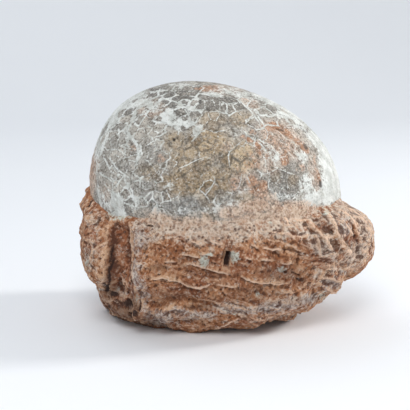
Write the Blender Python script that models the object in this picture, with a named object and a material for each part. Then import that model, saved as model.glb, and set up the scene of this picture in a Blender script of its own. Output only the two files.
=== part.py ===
"""Fossil dinosaur egg, lying in the lump of red sandstone that it was found in.

Two pieces, each one closed solid: the whole egg, and the loose lump of rock (the matrix) that
holds its lower half in a socket of the egg's own shape. Units are metres, +Z is up, the rock
stands on Z = 0, +X is to the right and the front faces -Y.

Every point of both pieces lies on a ray from the egg's centre. A ray has an azimuth, 0 degrees
to the right and -90 degrees to the front, and a depression, its angle below the horizontal.
A piece is a set of rings of such points, so each surface is one distance per ray.
"""

import math

import bpy
import numpy as np

MM = 0.001

# The egg is a long ovoid. Its long axis slopes down to the right.
EGG_LENGTH = 142 * MM
EGG_WIDTH = 112 * MM
EGG_SLOPE = math.radians(18.5)
EGG_FULLNESS = 2.12  # 2 is an ellipsoid, and more is fuller at the shoulders
EGG_CENTRE = np.array((-7.3, 0.3, 73.6)) * MM

GAP = 0.35 * MM  # between the egg and its socket
LIP = 0.9 * MM  # the rock's least thickness, where it feathers out on the shell
LIP_BLEND = 1.2 * MM  # how gradually the rock's faces run out into a feathered lip
LIP_FIT = 5  # how closely the rock keeps to its flare and then to its faces
LIP_CALM = 7 * MM  # the rock has no forms of its own this near to the lip

# The line where the rock ends on the shell: at each azimuth its depression in degrees, and its
# flare, the rock's gain in thickness for each unit of distance below the line.
LIP_LINE = (
    (-180, 1, 1.6),
    (-160, 5, 1.4),
    (-140, 8, 0.9),
    (-90, 9, 0.7),
    (-60, 7, 0.8),
    (-30, 4.5, 1.6),
    (0, 3, 4.0),
    (30, 6, 1.6),
    (90, 12, 0.8),
    (140, 6, 1.0),
)
LIP_WOBBLE = ((7, 1.0, 0.9), (17, 2.2, 0.6))  # waves round the lip, phase, degrees up and down

# The rock is a rounded block of broken faces. Each has the azimuth and the elevation that it
# faces, in degrees, and its distance from the egg's centre in millimetres.
FACE_SHARPNESS = 15  # the higher, the crisper the edges between faces
ROCK_FACES = (
    ("front", -90, -14, 66),
    ("front low", -92, -50, 82),
    ("front left", -138, -8, 77),
    ("front left low", -138, -44, 91),
    ("front right", -50, -14, 77),
    ("front right low", -45, -54, 90),
    ("front right underside", -75, -66, 83),
    ("left", 180, -2, 75.5),
    ("left low", 180, -32, 91),
    ("left underside", 180, -56, 105),
    ("right shoulder", 0, 64, 26),
    ("right upper", 0, 34, 65),
    ("right", -2, -14, 94),
    ("right low", -2, -38, 101),
    ("right underside", -4, -58, 91),
    ("back", 90, -14, 66),
    ("back low", 88, -52, 83),
    ("back left", 138, -10, 76),
    ("back left low", 135, -46, 86),
    ("back right", 45, -14, 77),
    ("back right low", 45, -50, 86),
)

# Lumps and hollows: where their middle is on the rays, in degrees of azimuth and depression,
# their half width and half height in degrees, and how far they stand out in millimetres.
LUMPS = (
    ("right knob", 0, 26, 13, 13, 3),
    ("left lobe", 176, 24, 16, 16, 1.5),
    ("back boss", 70, 34, 22, 14, 3),
    ("back hollow", 112, 30, 14, 16, -4),
    ("right undercut", -20, 64, 26, 12, -2),
)

# Forms of the front face, each by its place on the face: millimetres to the right of the egg's
# centre and above it, half width, half height and how far it stands out.
FRONT_FORMS = (
    ("arched hollow", -51, -27, 7.5, 15.5, -8),
    ("rough hollow below it", -49, -53, 7, 9, -3.5),
    ("edge of the left lobe", -62, -30, 4.5, 18, 2.5),
    ("upright rib", -39.5, -30, 4.2, 22, 3),
    ("foot of the rib", -38.5, -58, 4.5, 9, 3),
    ("left end of the ledge", -27, -38.5, 9, 3, 2.6),
    ("right end of the ledge", -8, -40.5, 12, 3, 2.2),
    ("slot over the ledge", -31, -34, 5, 2.4, -2.4),
    ("groove over the keel", -16, -53.5, 20, 2.8, -3.2),
    ("keel", -19, -60, 16, 4, 2.2),
    ("swelling of the middle", 10, -32, 20, 12, 1.6),
    ("pit by the middle", 6, -26, 2.2, 4.5, -3.4),
    ("granular hollow", 56, -14, 6.5, 4, -3.2),
    ("pit beside it", 47, -12, 2.6, 2.6, -2),
    ("pit below it", 43.5, -29.5, 2.6, 2.6, -2),
    ("groove of the knob", 66.5, -33, 4, 10, -2.4),
    ("facet of the knob", 69.5, -15, 5, 6, 1.4),
    ("hollow of the knob", 74, -21.5, 3.5, 5, -2),
    ("right bulge", 38, -50, 15, 8, 2),
)

# Uneven broken surface: wavelength and height of each size of unevenness, in millimetres.
ROUGHNESS = ((46, 1.6), (21, 0.9), (11, 0.6))
WAVES = 9
ROUGHNESS_SEED = 7

COLUMNS = 84
FRONT_CROWDING = 0.34  # the columns stand closer together at the front by this share
OUTER_RINGS = 22
SOCKET_RINGS = 7
CROWN_RINGS = 14  # rings of the egg above the rock

EGG_COLOUR = (0.42, 0.36, 0.30, 1)
ROCK_COLOUR = (0.46, 0.22, 0.13, 1)


def clear_scene():
    for item in list(bpy.data.objects):
        bpy.data.objects.remove(item, do_unlink=True)


def rays(azimuth, depression):
    """Unit vectors of the rays, from angles in degrees."""
    a, d = np.radians(azimuth), np.radians(depression)
    return np.stack([np.cos(a) * np.cos(d), np.sin(a) * np.cos(d), -np.sin(d)], axis=-1)


def columns():
    """The azimuths of the columns, closest together at -90 degrees."""
    turn = 360 * np.arange(COLUMNS) / COLUMNS - 90
    return turn - np.degrees(FRONT_CROWDING * np.sin(np.radians(turn + 90)))


def lip_line(azimuth):
    """The lip's depression and flare at each azimuth: the stations, joined by smooth steps."""
    stations = np.array(LIP_LINE + ((LIP_LINE[0][0] + 360,) + LIP_LINE[0][1:],), float)
    turned = (azimuth + 180) % 360 - 180
    after = np.searchsorted(stations[:, 0], turned, side="right")
    start, end = stations[after - 1], stations[after]
    share = (turned - start[..., 0]) / (end[..., 0] - start[..., 0])
    eased = (share**2 * (3 - 2 * share))[..., None]
    depression, flare = np.moveaxis(start[..., 1:] + (end - start)[..., 1:] * eased, -1, 0)
    for waves, phase, height in LIP_WOBBLE:
        depression = depression + height * np.sin(waves * np.radians(turned) + phase)
    return depression, flare


def egg_reach(ray):
    """Distance from the egg's centre to its shell along each ray."""
    along = ray[..., 0] * math.cos(EGG_SLOPE) - ray[..., 2] * math.sin(EGG_SLOPE)
    across = np.sqrt(np.maximum(1 - along**2, 0))
    sides = (
        np.abs(along / (EGG_LENGTH / 2)) ** EGG_FULLNESS
        + (across / (EGG_WIDTH / 2)) ** EGG_FULLNESS
    )
    return sides ** (-1 / EGG_FULLNESS)


def block_reach(ray):
    """Distance to the rounded block: its faces' own distances, blended by a power sum."""
    total = 0
    for _, azimuth, elevation, distance in ROCK_FACES:
        facing = ray @ rays(azimuth, -elevation)
        total = total + np.maximum(facing / (distance * MM), 0) ** FACE_SHARPNESS
    return total ** (-1 / FACE_SHARPNESS)


def lumps(azimuth, depression):
    """How far the lumps stand out, each a smooth mound on the rays round its middle."""
    total = 0
    for _, middle, low, half_width, half_height, out in LUMPS:
        sideways = ((azimuth - middle + 180) % 360 - 180) * np.cos(np.radians(depression))
        mound = (sideways / half_width) ** 2 + ((depression - low) / half_height) ** 2
        total = total + out * MM * np.exp(-mound)
    return total


def front_forms(point):
    """How far the front face's forms stand out, each a steep-sided mound by X and Z."""
    total = 0
    for _, x, z, half_width, half_height, out in FRONT_FORMS:
        sideways = (point[..., 0] - x * MM) / (half_width * MM)
        upwards = (point[..., 2] - z * MM) / (half_height * MM)
        total = total + out * MM * np.exp(-((sideways**2 + upwards**2) ** 2))
    return np.where(point[..., 1] < 0, total, 0)


def roughness(point):
    """Uneven surface: for each size, the sum of plane waves in directions drawn at random."""
    draw = np.random.RandomState(ROUGHNESS_SEED)
    total = 0
    for wavelength, height in ROUGHNESS:
        direction = draw.normal(size=(3, WAVES))
        direction = direction / np.linalg.norm(direction, axis=0)
        phase = draw.uniform(0, 2 * math.pi, WAVES)
        waves = np.sin(point @ direction * (2 * math.pi / (wavelength * MM)) + phase)
        total = total + height * MM * waves.sum(axis=-1) / math.sqrt(WAVES / 2)
    return total


def above_zero(distance):
    """The distance where it is positive, easing to nothing where it is negative."""
    return (distance + np.sqrt(distance**2 + LIP_BLEND**2)) / 2


def rock_reach(azimuth, depression):
    """Distance from the egg's centre to the rock's outside along each ray."""
    ray = rays(azimuth, depression)
    shell = egg_reach(ray)
    lip, flare = lip_line(azimuth)
    below_lip = shell * np.radians(np.maximum(depression - lip, 0)) + 1e-9
    block = above_zero(block_reach(ray) + lumps(azimuth, depression) - shell - LIP)
    smooth = ((flare * below_lip) ** -LIP_FIT + block**-LIP_FIT) ** (-1 / LIP_FIT)
    point = ray * (shell + LIP + smooth)[..., None]
    uneven = front_forms(point) + roughness(point)
    broken = smooth + uneven * (1 - np.exp(-((below_lip / LIP_CALM) ** 2)))
    reach = shell + LIP + above_zero(broken)
    floor = EGG_CENTRE[2] / np.maximum(-ray[..., 2], 1e-6)
    return np.minimum(reach, floor)


def closed_mesh(name, first_pole, rings, last_pole):
    """One closed surface through rings of equally many points, with a pole at each end."""
    points = np.concatenate([[first_pole], rings.reshape(-1, 3), [last_pole]])
    last = len(points) - 1
    here = np.arange(COLUMNS)
    beside = np.roll(here, -1)
    faces = [(0, 1 + b, 1 + a) for a, b in zip(here, beside)]
    for ring in range(len(rings) - 1):
        low, high = 1 + ring * COLUMNS, 1 + (ring + 1) * COLUMNS
        faces += [(low + a, low + b, high + b, high + a) for a, b in zip(here, beside)]
    top = 1 + (len(rings) - 1) * COLUMNS
    faces += [(top + a, top + b, last) for a, b in zip(here, beside)]
    mesh = bpy.data.meshes.new(name)
    mesh.from_pydata((points + EGG_CENTRE).tolist(), [], [tuple(map(int, f)) for f in faces])
    mesh.update()
    mesh.shade_smooth()
    mesh.set_sharp_from_angle(angle=math.radians(35))
    return mesh


def stone(name, colour, roughness_value):
    material = bpy.data.materials.new(name)
    material.use_nodes = True
    shader = material.node_tree.nodes["Principled BSDF"]
    shader.inputs["Base Color"].default_value = colour
    shader.inputs["Roughness"].default_value = roughness_value
    shader.inputs["Metallic"].default_value = 0
    return material


def add(name, mesh, material):
    mesh.materials.append(material)
    bpy.context.scene.collection.objects.link(bpy.data.objects.new(name, mesh))


def sunk_rings(azimuth):
    """Azimuths and depressions of the rings below the lip, from the lip down."""
    lip, _ = lip_line(azimuth)
    share = np.arange(SOCKET_RINGS)[:, None] / SOCKET_RINGS
    depression = lip + (90 - lip) * share
    return np.broadcast_to(azimuth, depression.shape), depression


def build_egg():
    azimuth = columns()
    low_azimuth, low = sunk_rings(azimuth)
    share = np.arange(1, CROWN_RINGS)[:, None] / CROWN_RINGS
    high = low[0] - (low[0] + 90) * share
    depression = np.concatenate([low[::-1], high])
    ray = rays(np.broadcast_to(azimuth, depression.shape), depression)
    rings = ray * egg_reach(ray)[..., None]
    down, up = np.array((0.0, 0, -1)), np.array((0.0, 0, 1))
    mesh = closed_mesh("egg", down * egg_reach(down), rings, up * egg_reach(up))
    add("egg", mesh, stone("fossil shell", EGG_COLOUR, 0.7))


def build_matrix():
    azimuth = columns()
    lip, _ = lip_line(azimuth)
    step = 1 - np.arange(OUTER_RINGS)[:, None] / OUTER_RINGS
    depression = lip + (90 - lip) * (0.75 * step + 0.25 * step**3)[1:]
    depression = np.concatenate([depression, [lip]])
    turned = np.broadcast_to(azimuth, depression.shape)
    outside = rays(turned, depression) * rock_reach(turned, depression)[..., None]
    socket_ray = rays(*sunk_rings(azimuth))
    socket = socket_ray * (egg_reach(socket_ray) + GAP)[..., None]
    down = np.array((0.0, 0, -1))
    rings = np.concatenate([outside, socket])
    mesh = closed_mesh("matrix", down * EGG_CENTRE[2], rings, down * (egg_reach(down) + GAP))
    add("matrix", mesh, stone("red sandstone", ROCK_COLOUR, 0.9))


clear_scene()
build_egg()
build_matrix()
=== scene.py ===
"""Fossil dinosaur egg in its lump of red sandstone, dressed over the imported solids.

Metres, +Z up, the rock stands on Z = 0, and the front faces -Y.
"""

import math

import bpy
import numpy as np
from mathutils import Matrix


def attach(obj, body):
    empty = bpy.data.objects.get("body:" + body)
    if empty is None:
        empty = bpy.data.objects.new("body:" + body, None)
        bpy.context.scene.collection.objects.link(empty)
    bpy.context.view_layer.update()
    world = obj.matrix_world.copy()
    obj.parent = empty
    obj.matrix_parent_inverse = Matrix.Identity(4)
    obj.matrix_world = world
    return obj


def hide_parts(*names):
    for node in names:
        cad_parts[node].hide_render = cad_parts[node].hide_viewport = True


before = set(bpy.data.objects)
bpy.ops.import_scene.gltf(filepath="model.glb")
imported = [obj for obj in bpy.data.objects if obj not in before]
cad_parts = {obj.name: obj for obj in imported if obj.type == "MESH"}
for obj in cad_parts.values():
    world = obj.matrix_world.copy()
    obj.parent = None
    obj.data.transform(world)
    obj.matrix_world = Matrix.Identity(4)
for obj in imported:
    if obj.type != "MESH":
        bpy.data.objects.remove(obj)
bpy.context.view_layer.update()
MM = 0.001


# The camera: a long lens in front of the specimen, which looks down on it by 11 degrees. Marks
# on the front are placed by where they stand in its frame, which is 410 units wide and high and
# starts at the top left. On the specimen a unit is about 0.56 mm.
FRAME_SIDE = 410
CAMERA_RISE = math.radians(11)
CAMERA_AIM = np.array((-12.6, 0, 63.0)) * MM
CAMERA_DISTANCE = 638 * MM
LENS_MM = 100
SENSOR_MM = 36

camera_forward = np.array((0, math.cos(CAMERA_RISE), -math.sin(CAMERA_RISE)))
camera_up = np.array((0, math.sin(CAMERA_RISE), math.cos(CAMERA_RISE)))
camera_place = CAMERA_AIM - CAMERA_DISTANCE * camera_forward
camera = bpy.data.objects.new("camera", bpy.data.cameras.new("camera"))
camera.data.lens = LENS_MM
camera.data.sensor_width = SENSOR_MM
camera.data.clip_start = 10 * MM
camera.location = camera_place
camera.rotation_euler = (math.pi / 2 - CAMERA_RISE, 0, 0)
bpy.context.scene.collection.objects.link(camera)
bpy.context.scene.camera = camera


def in_frame(points):
    """Where points stand in the frame: sideways and upward distance over depth, times focus."""
    focus = LENS_MM / SENSOR_MM * FRAME_SIDE
    away = points - camera_place
    depth = away @ camera_forward
    right = FRAME_SIDE / 2 + focus * away[..., 0] / depth
    down = FRAME_SIDE / 2 - focus * (away @ camera_up) / depth
    return np.stack([right, down], axis=-1)


# The egg: a whole fossil shell, 142 mm long, broken into many small plates that still lie
# together. White calcite fills the cracks between them and lies as a chalky crust at the top and
# at both ends. The long axis slopes down to the right, and the rock holds the lower half.
EGG_LENGTH = 142 * MM
EGG_WIDTH = 112 * MM
EGG_SLOPE = math.radians(18.5)
EGG_FULLNESS = 2.12  # 2 is an ellipsoid, and more is fuller at the shoulders
EGG_CENTRE = np.array((-7.3, 0.3, 73.6)) * MM
# The blunt end is a little flat: azimuth, depression, half width and half height in degrees.
FLAT_PLACE = (176, -18, 34, 17)
FLAT_DEPTH = 1.5 * MM

# Where the rock ends on the shell: azimuth, depression, and the rock's gain in thickness for
# each unit of distance below. Waves round that line: count, phase, degrees up and down.
LIP_LINE = (
    (-180, 1, 1.6), (-160, 5, 1.4), (-140, 8, 0.9), (-90, 9, 0.7), (-60, 7, 0.8), (-30, 4.5, 1.6),
    (0, 3, 4.0), (30, 6, 1.6), (90, 12, 0.8), (140, 6, 1.0),
)
LIP_WOBBLE = ((7, 1.0, 0.9), (17, 2.2, 0.6))

EGG_COLUMNS = 440
EGG_ROWS_ABOVE = 204  # above the lip, where it shows
EGG_ROWS_BELOW = 18
EGG_FRONT_CROWDING = 0.5  # the columns stand closer together at the front by this share


def rays(azimuth, depression):
    """Unit vectors from an azimuth and an angle below the horizontal, both in degrees."""
    a, d = np.radians(np.broadcast_arrays(azimuth, depression))
    return np.stack([np.cos(a) * np.cos(d), np.sin(a) * np.cos(d), -np.sin(d)], axis=-1)


def column_azimuths(count, crowding):
    """Azimuths right round, drawn towards -90 degrees by a sine of the turn from there."""
    turn = 360 * np.arange(count) / count - 90
    return turn - np.degrees(crowding * np.sin(np.radians(turn + 90)))


def lip_line(azimuth):
    """The rock's lip and its flare at each azimuth: the stations, joined by smooth steps."""
    stations = np.array(LIP_LINE + ((LIP_LINE[0][0] + 360,) + LIP_LINE[0][1:],), float)
    turned = (azimuth + 180) % 360 - 180
    after = np.searchsorted(stations[:, 0], turned, side="right")
    start, end = stations[after - 1], stations[after]
    share = (turned - start[..., 0]) / (end[..., 0] - start[..., 0])
    eased = (share**2 * (3 - 2 * share))[..., None]
    depression, flare = np.moveaxis(start[..., 1:] + (end - start)[..., 1:] * eased, -1, 0)
    for waves, phase, height in LIP_WOBBLE:
        depression = depression + height * np.sin(waves * np.radians(turned) + phase)
    return depression, flare


def egg_reach(ray):
    """Distance to the shell: the power sum of the shares of half length and half width."""
    along = ray[..., 0] * math.cos(EGG_SLOPE) - ray[..., 2] * math.sin(EGG_SLOPE)
    across = np.sqrt(np.maximum(1 - along**2, 0))
    sides = (
        np.abs(along / (EGG_LENGTH / 2)) ** EGG_FULLNESS
        + (across / (EGG_WIDTH / 2)) ** EGG_FULLNESS
    )
    return sides ** (-1 / EGG_FULLNESS)


def eased_step(value, low, high):
    """0 at low and 1 at high, with a smooth step between them."""
    share = np.clip((value - low) / (high - low), 0, 1)
    return share**2 * (3 - 2 * share)


def scattered(cell, seed):
    """A number from 0 to 1 for each cell of a lattice: its coordinates with their bits mixed."""
    whole = cell.astype(np.int64).astype(np.uint64)
    mixed = whole[..., 0] * np.uint64(73856093)
    mixed = mixed ^ (whole[..., 1] * np.uint64(19349663))
    mixed = mixed ^ (whole[..., 2] * np.uint64(83492791))
    mixed = (mixed ^ np.uint64(seed * 40503 + 977)) & np.uint64(0xFFFFFFFF)
    for shift, factor in ((15, 2246822519), (13, 3266489917)):
        mixed = mixed ^ (mixed >> np.uint64(shift))
        mixed = (mixed * np.uint64(factor)) & np.uint64(0xFFFFFFFF)
    mixed = mixed ^ (mixed >> np.uint64(16))
    return mixed.astype(float) / 2**32


def mottle(point, size_mm, seed):
    """Smooth noise from -1 to 1: numbers at the corners of a lattice, eased between them."""
    place = point / (size_mm * MM)
    low = np.floor(place)
    share = place - low
    eased = share**2 * (3 - 2 * share)
    total = 0
    for corner in np.ndindex(2, 2, 2):
        weight = np.prod(np.where(corner, eased, 1 - eased), axis=-1)
        total = total + weight * scattered(low + corner, seed)
    return 2 * total - 1


def rough_mottle(point, size_mm, seed, layers=4, keep=0.55):
    """Mottle of halving sizes added up, each layer with a share of the height before it."""
    total, height, most = 0, 1.0, 0.0
    for layer in range(layers):
        total = total + height * mottle(point, size_mm / 2**layer, seed + 31 * layer)
        most += height
        height *= keep
    return total / most


def wander(point, size_mm, seeds, layers):
    """A direction for each point, each of its parts from -1 to 1 by mottle with its own seed."""
    return np.stack([rough_mottle(point, size_mm, seed, layers) for seed in seeds], axis=-1)


def grains(point, size_mm, seed):
    """Packed grains, one at a random place in each lattice cell: the distance to the nearest
    grain, how much further the second nearest is, both in cells, and the nearest's number."""
    place = point / (size_mm * MM)
    low = np.floor(place)
    first = np.full(place.shape[:-1], 9.0)
    second = first.copy()
    number = np.zeros_like(first)
    for shift in np.ndindex(3, 3, 3):
        cell = low + np.array(shift) - 1
        middle = np.stack([scattered(cell, seed + k) for k in range(3)], axis=-1)
        away = np.linalg.norm(cell + middle - place, axis=-1)
        nearer = away < first
        second = np.where(nearer, first, np.minimum(second, away))
        number = np.where(nearer, scattered(cell, seed + 3), number)
        first = np.where(nearer, away, first)
    return first, second - first, number


def outward(points):
    """Directions square to a grid of rings, lowest first: the cross product of its two
    differences."""
    round_it = np.roll(points, -1, axis=1) - np.roll(points, 1, axis=1)
    up_it = np.gradient(points, axis=0)
    square = np.cross(round_it, up_it)
    return square / np.maximum(np.linalg.norm(square, axis=-1, keepdims=True), 1e-12)


def to_camera(points, facing):
    """How squarely a surface faces the camera: 1 head on, 0 edge on, negative turned away."""
    away = camera_place - points
    away = away / np.linalg.norm(away, axis=-1, keepdims=True)
    return np.sum(away * facing, axis=-1)


def beside_line(place, line):
    """Distance from each place to a bent line, its side, 1 below a line that runs to the right
    and -1 above it, and how far along the line the nearest point is, from 0 to 1."""
    bends = np.array(line, float)
    lengths = np.linalg.norm(np.diff(bends, axis=0), axis=1)
    passed = np.concatenate([[0], np.cumsum(lengths)]) / lengths.sum()
    nearest = np.full(place.shape[:-1], 1e9)
    side, along = np.ones_like(nearest), np.zeros_like(nearest)
    for number, (start, end) in enumerate(zip(bends[:-1], bends[1:])):
        run = end - start
        share = np.clip((place - start) @ run / (run @ run), 0, 1)
        off = place - start - share[..., None] * run
        away = np.linalg.norm(off, axis=-1)
        nearer = away < nearest
        turn = run[0] * off[..., 1] - run[1] * off[..., 0]
        side = np.where(nearer, np.where(turn < 0, -1.0, 1.0), side)
        here = passed[number] + share * (passed[number + 1] - passed[number])
        along = np.where(nearer, here, along)
        nearest = np.minimum(away, nearest)
    return nearest, side, along


def tapered(along, end_share=0.22):
    """Full in the middle of a line and thinning to a quarter over its two end shares."""
    return 0.25 + 0.75 * np.clip(np.minimum(along, 1 - along) / end_share, 0, 1)


def drawn(place, lines, softness=0.45):
    """Bent lines drawn on the surface, each (width, bends): 1 on the line, 0 beside it."""
    total = np.zeros(place.shape[:-1])
    for width, line in lines:
        away, _, along = beside_line(place, line)
        half = 0.36 * width * tapered(along)
        total = np.maximum(total, 1 - eased_step(away - half, -softness, softness))
    return total


def blotted(place, blots, edge=0.35):
    """Soft ovals, each (strength, x, y, half width, half height) and a turn in degrees where
    it has one: the strongest of them."""
    total = np.zeros(place.shape[:-1])
    for strength, x, y, half_width, half_height, *turn in blots:
        c, s = math.cos(math.radians(sum(turn))), math.sin(math.radians(sum(turn)))
        right, down = place[..., 0] - x, place[..., 1] - y
        off = np.hypot((c * right + s * down) / half_width, (c * down - s * right) / half_height)
        total = np.maximum(total, strength * (1 - eased_step(off, 1 - edge, 1 + edge)))
    return total


def marked(place, blots, edge, front, behind, points, size_mm, seed, low, high):
    """Named ovals where the piece faces the front, and behind it the parts where mottle of
    this size goes from low to high."""
    strewn = eased_step(rough_mottle(points, size_mm, seed), low, high)
    return blotted(place, blots, edge) * front + behind * strewn


def warped(place, point, reach, size_mm, seed):
    """Places moved about by up to reach, so that what is placed there has uneven edges."""
    return place + reach * wander(point, size_mm, (seed, seed + 50), 2)


def closed_grid(name, first_pole, rings, last_pole):
    """A closed surface through rings of equally many points, with a pole at each end."""
    count = rings.shape[1]
    points = np.concatenate([[first_pole], rings.reshape(-1, 3), [last_pole]])
    here = np.arange(count)
    beside = np.roll(here, -1)
    starts = 1 + count * np.arange(len(rings) - 1)[:, None]
    low_a, low_b = starts + here, starts + beside
    quads = np.stack([low_a, low_b, low_b + count, low_a + count], axis=-1).reshape(-1, 4)
    first = np.stack([np.zeros_like(here), 1 + beside, 1 + here], axis=-1)
    top = 1 + (len(rings) - 1) * count
    last = np.stack([top + here, top + beside, np.full_like(here, len(points) - 1)], axis=-1)
    mesh = bpy.data.meshes.new(name)
    mesh.from_pydata(points.tolist(), [], first.tolist() + quads.tolist() + last.tolist())
    mesh.update()
    mesh.shade_smooth()
    piece = bpy.data.objects.new(name, mesh)
    bpy.context.scene.collection.objects.link(piece)
    return piece


def stain(piece, name, amounts):
    """Puts an amount for each ring point on the mesh, with the end rings' means at the poles."""
    flat = np.concatenate([[amounts[0].mean()], amounts.reshape(-1), [amounts[-1].mean()]])
    layer = piece.data.attributes.new(name, "FLOAT", "POINT")
    layer.data.foreach_set("value", flat.astype(np.float32))


# Plates of the shell that show from the front, in groups: how dark they are (0 dark grey,
# 1 pale), the half width of the white border round them and how far from their middle they
# show through the white crust, both in mm, and their middles.
FRONT_PLATES = (
    (0.05, 0.5, 2.2, ((162, 93), (157.5, 99.5), (164, 102.5), (195, 89), (176, 87.5))),
    (0.05, 0.5, 2.9, ((154.5, 95.5), (169, 95.5), (171.5, 105.5), (185, 101.5), (188, 97.5))),
    (0.05, 0.5, 3.4, ((180, 113.5), (178, 98.5), (183, 92.5), (190, 93.5), (157, 88.5))),
    (0.15, 0.5, 3.4, ((164, 84.5), (187, 88.5), (170, 88), (194.5, 115.5), (205, 96.5))),
    (0.3, 0.6, 2.0, ((141, 110), (128, 112), (154, 116.5), (138, 120), (135, 101), (157, 119))),
    (0.4, 0.4, 3.4, ((121, 113), (124, 119), (121, 125), (132, 128.5), (116, 128), (104, 131))),
    (0.48, 0.5, 3.6, ((114, 133), (114, 139), (121, 139), (103, 141.5), (132, 144.5), (128, 150))),
    (0.15, 0.35, 4.5, ((211, 105.5), (217, 105), (222, 107), (230, 100.5), (231, 109), (239, 108))),
    (0.4, 0.4, 4.0, ((246, 101), (253, 104.5), (262, 111), (270, 107), (252, 122), (270, 120))),
    (0.45, 0.2, 0, ((205, 119), (214, 117), (222, 120), (213, 125), (238, 118), (246, 114))),
    (0.3, 0.3, 0, ((183, 127.5), (188, 134), (195, 139), (183, 135))),
    (0.5, 0.2, 0, ((172, 133), (163, 136.5), (160, 144), (167, 147), (152, 124), (145, 123))),
    (0.55, 0.25, 0, ((157, 127), (148, 130), (153, 136), (141, 134), (147, 141), (151, 147))),
    (0.6, 0.08, 0, ((177, 143), (186, 144), (205, 135), (213, 138), (205, 147), (191, 152))),
    (0.4, 0.08, 0, ((176, 153), (207, 154), (213, 161), (216, 168), (205, 167), (198, 172))),
    (0.52, 0.25, 0, ((108, 145), (114, 146), (97, 143), (94, 153), (102, 158), (103, 166))),
    (0.48, 0.25, 0, ((107, 153), (114, 153), (121, 153), (107, 171), (113, 173), (115, 159))),
    (0.45, 0.15, 0, ((117, 166), (124, 166), (123, 173), (102, 181), (109, 183), (129, 177))),
    (0.5, 0.4, 3.5, ((121, 180), (117, 187), (104, 190), (107, 196), (124, 196), (135, 152))),
    (0.5, 0.25, 4, ((134, 158), (133, 164), (137, 172), (133, 178), (135, 185), (138, 191))),
    (0.2, 0.25, 3.0, ((128, 203), (128, 207), (144, 193), (148, 197.5), (152, 203), (144, 202))),
    (0.45, 0.12, 0, ((145, 153), (152, 156), (143, 162), (150, 163), (146, 171), (153, 170))),
    (0.35, 0.15, 0, ((146, 180), (152, 184), (158, 178), (143, 186), (160, 189), (165, 175))),
    (0.55, 0.2, 0, ((163, 158), (168, 167), (174, 173), (165, 196), (173, 193), (158, 197))),
    (0.4, 0.05, 0, ((184, 168), (190, 177), (182, 185), (192, 188), (199, 183), (198, 194))),
    (0.3, 0.15, 0, ((184, 197), (176, 203), (166, 206), (189, 206), (200, 204), (181, 211))),
    (0.25, 0.3, 4, ((213, 192), (206, 187), (222, 197), (245, 183))),
    (0.35, 0.06, 0, ((224, 185), (207, 176), (224, 173), (236, 180), (226, 162), (221, 151))),
    (0.7, 0.05, 0, ((235, 165), (240, 155), (247, 166), (222, 141), (232, 143), (251, 150))),
    (0.5, 0.1, 0, ((240, 138), (236, 127), (247, 129), (226, 131), (257, 157), (245, 195))),
    (0.2, 0.12, 0, ((276, 178), (281, 184), (293, 181), (285, 192), (292, 190), (276, 188))),
    (0.6, 0.3, 2.5, ((284, 112), (292, 122), (301, 132), (308, 142), (283, 122), (293, 134))),
)
# The other plates: how far apart, how far from the named ones, and the tone's spread.
BACK_PLATE_SPACING = 6.5 * MM
FRONT_PLATE_CLEARANCE = 5.0 * MM
TONE_SPREAD = 0.14
MEAN_RADIUS = 60 * MM
GOLDEN_TURN = 360 * 0.618034
PLATE_SEED = 12

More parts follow.
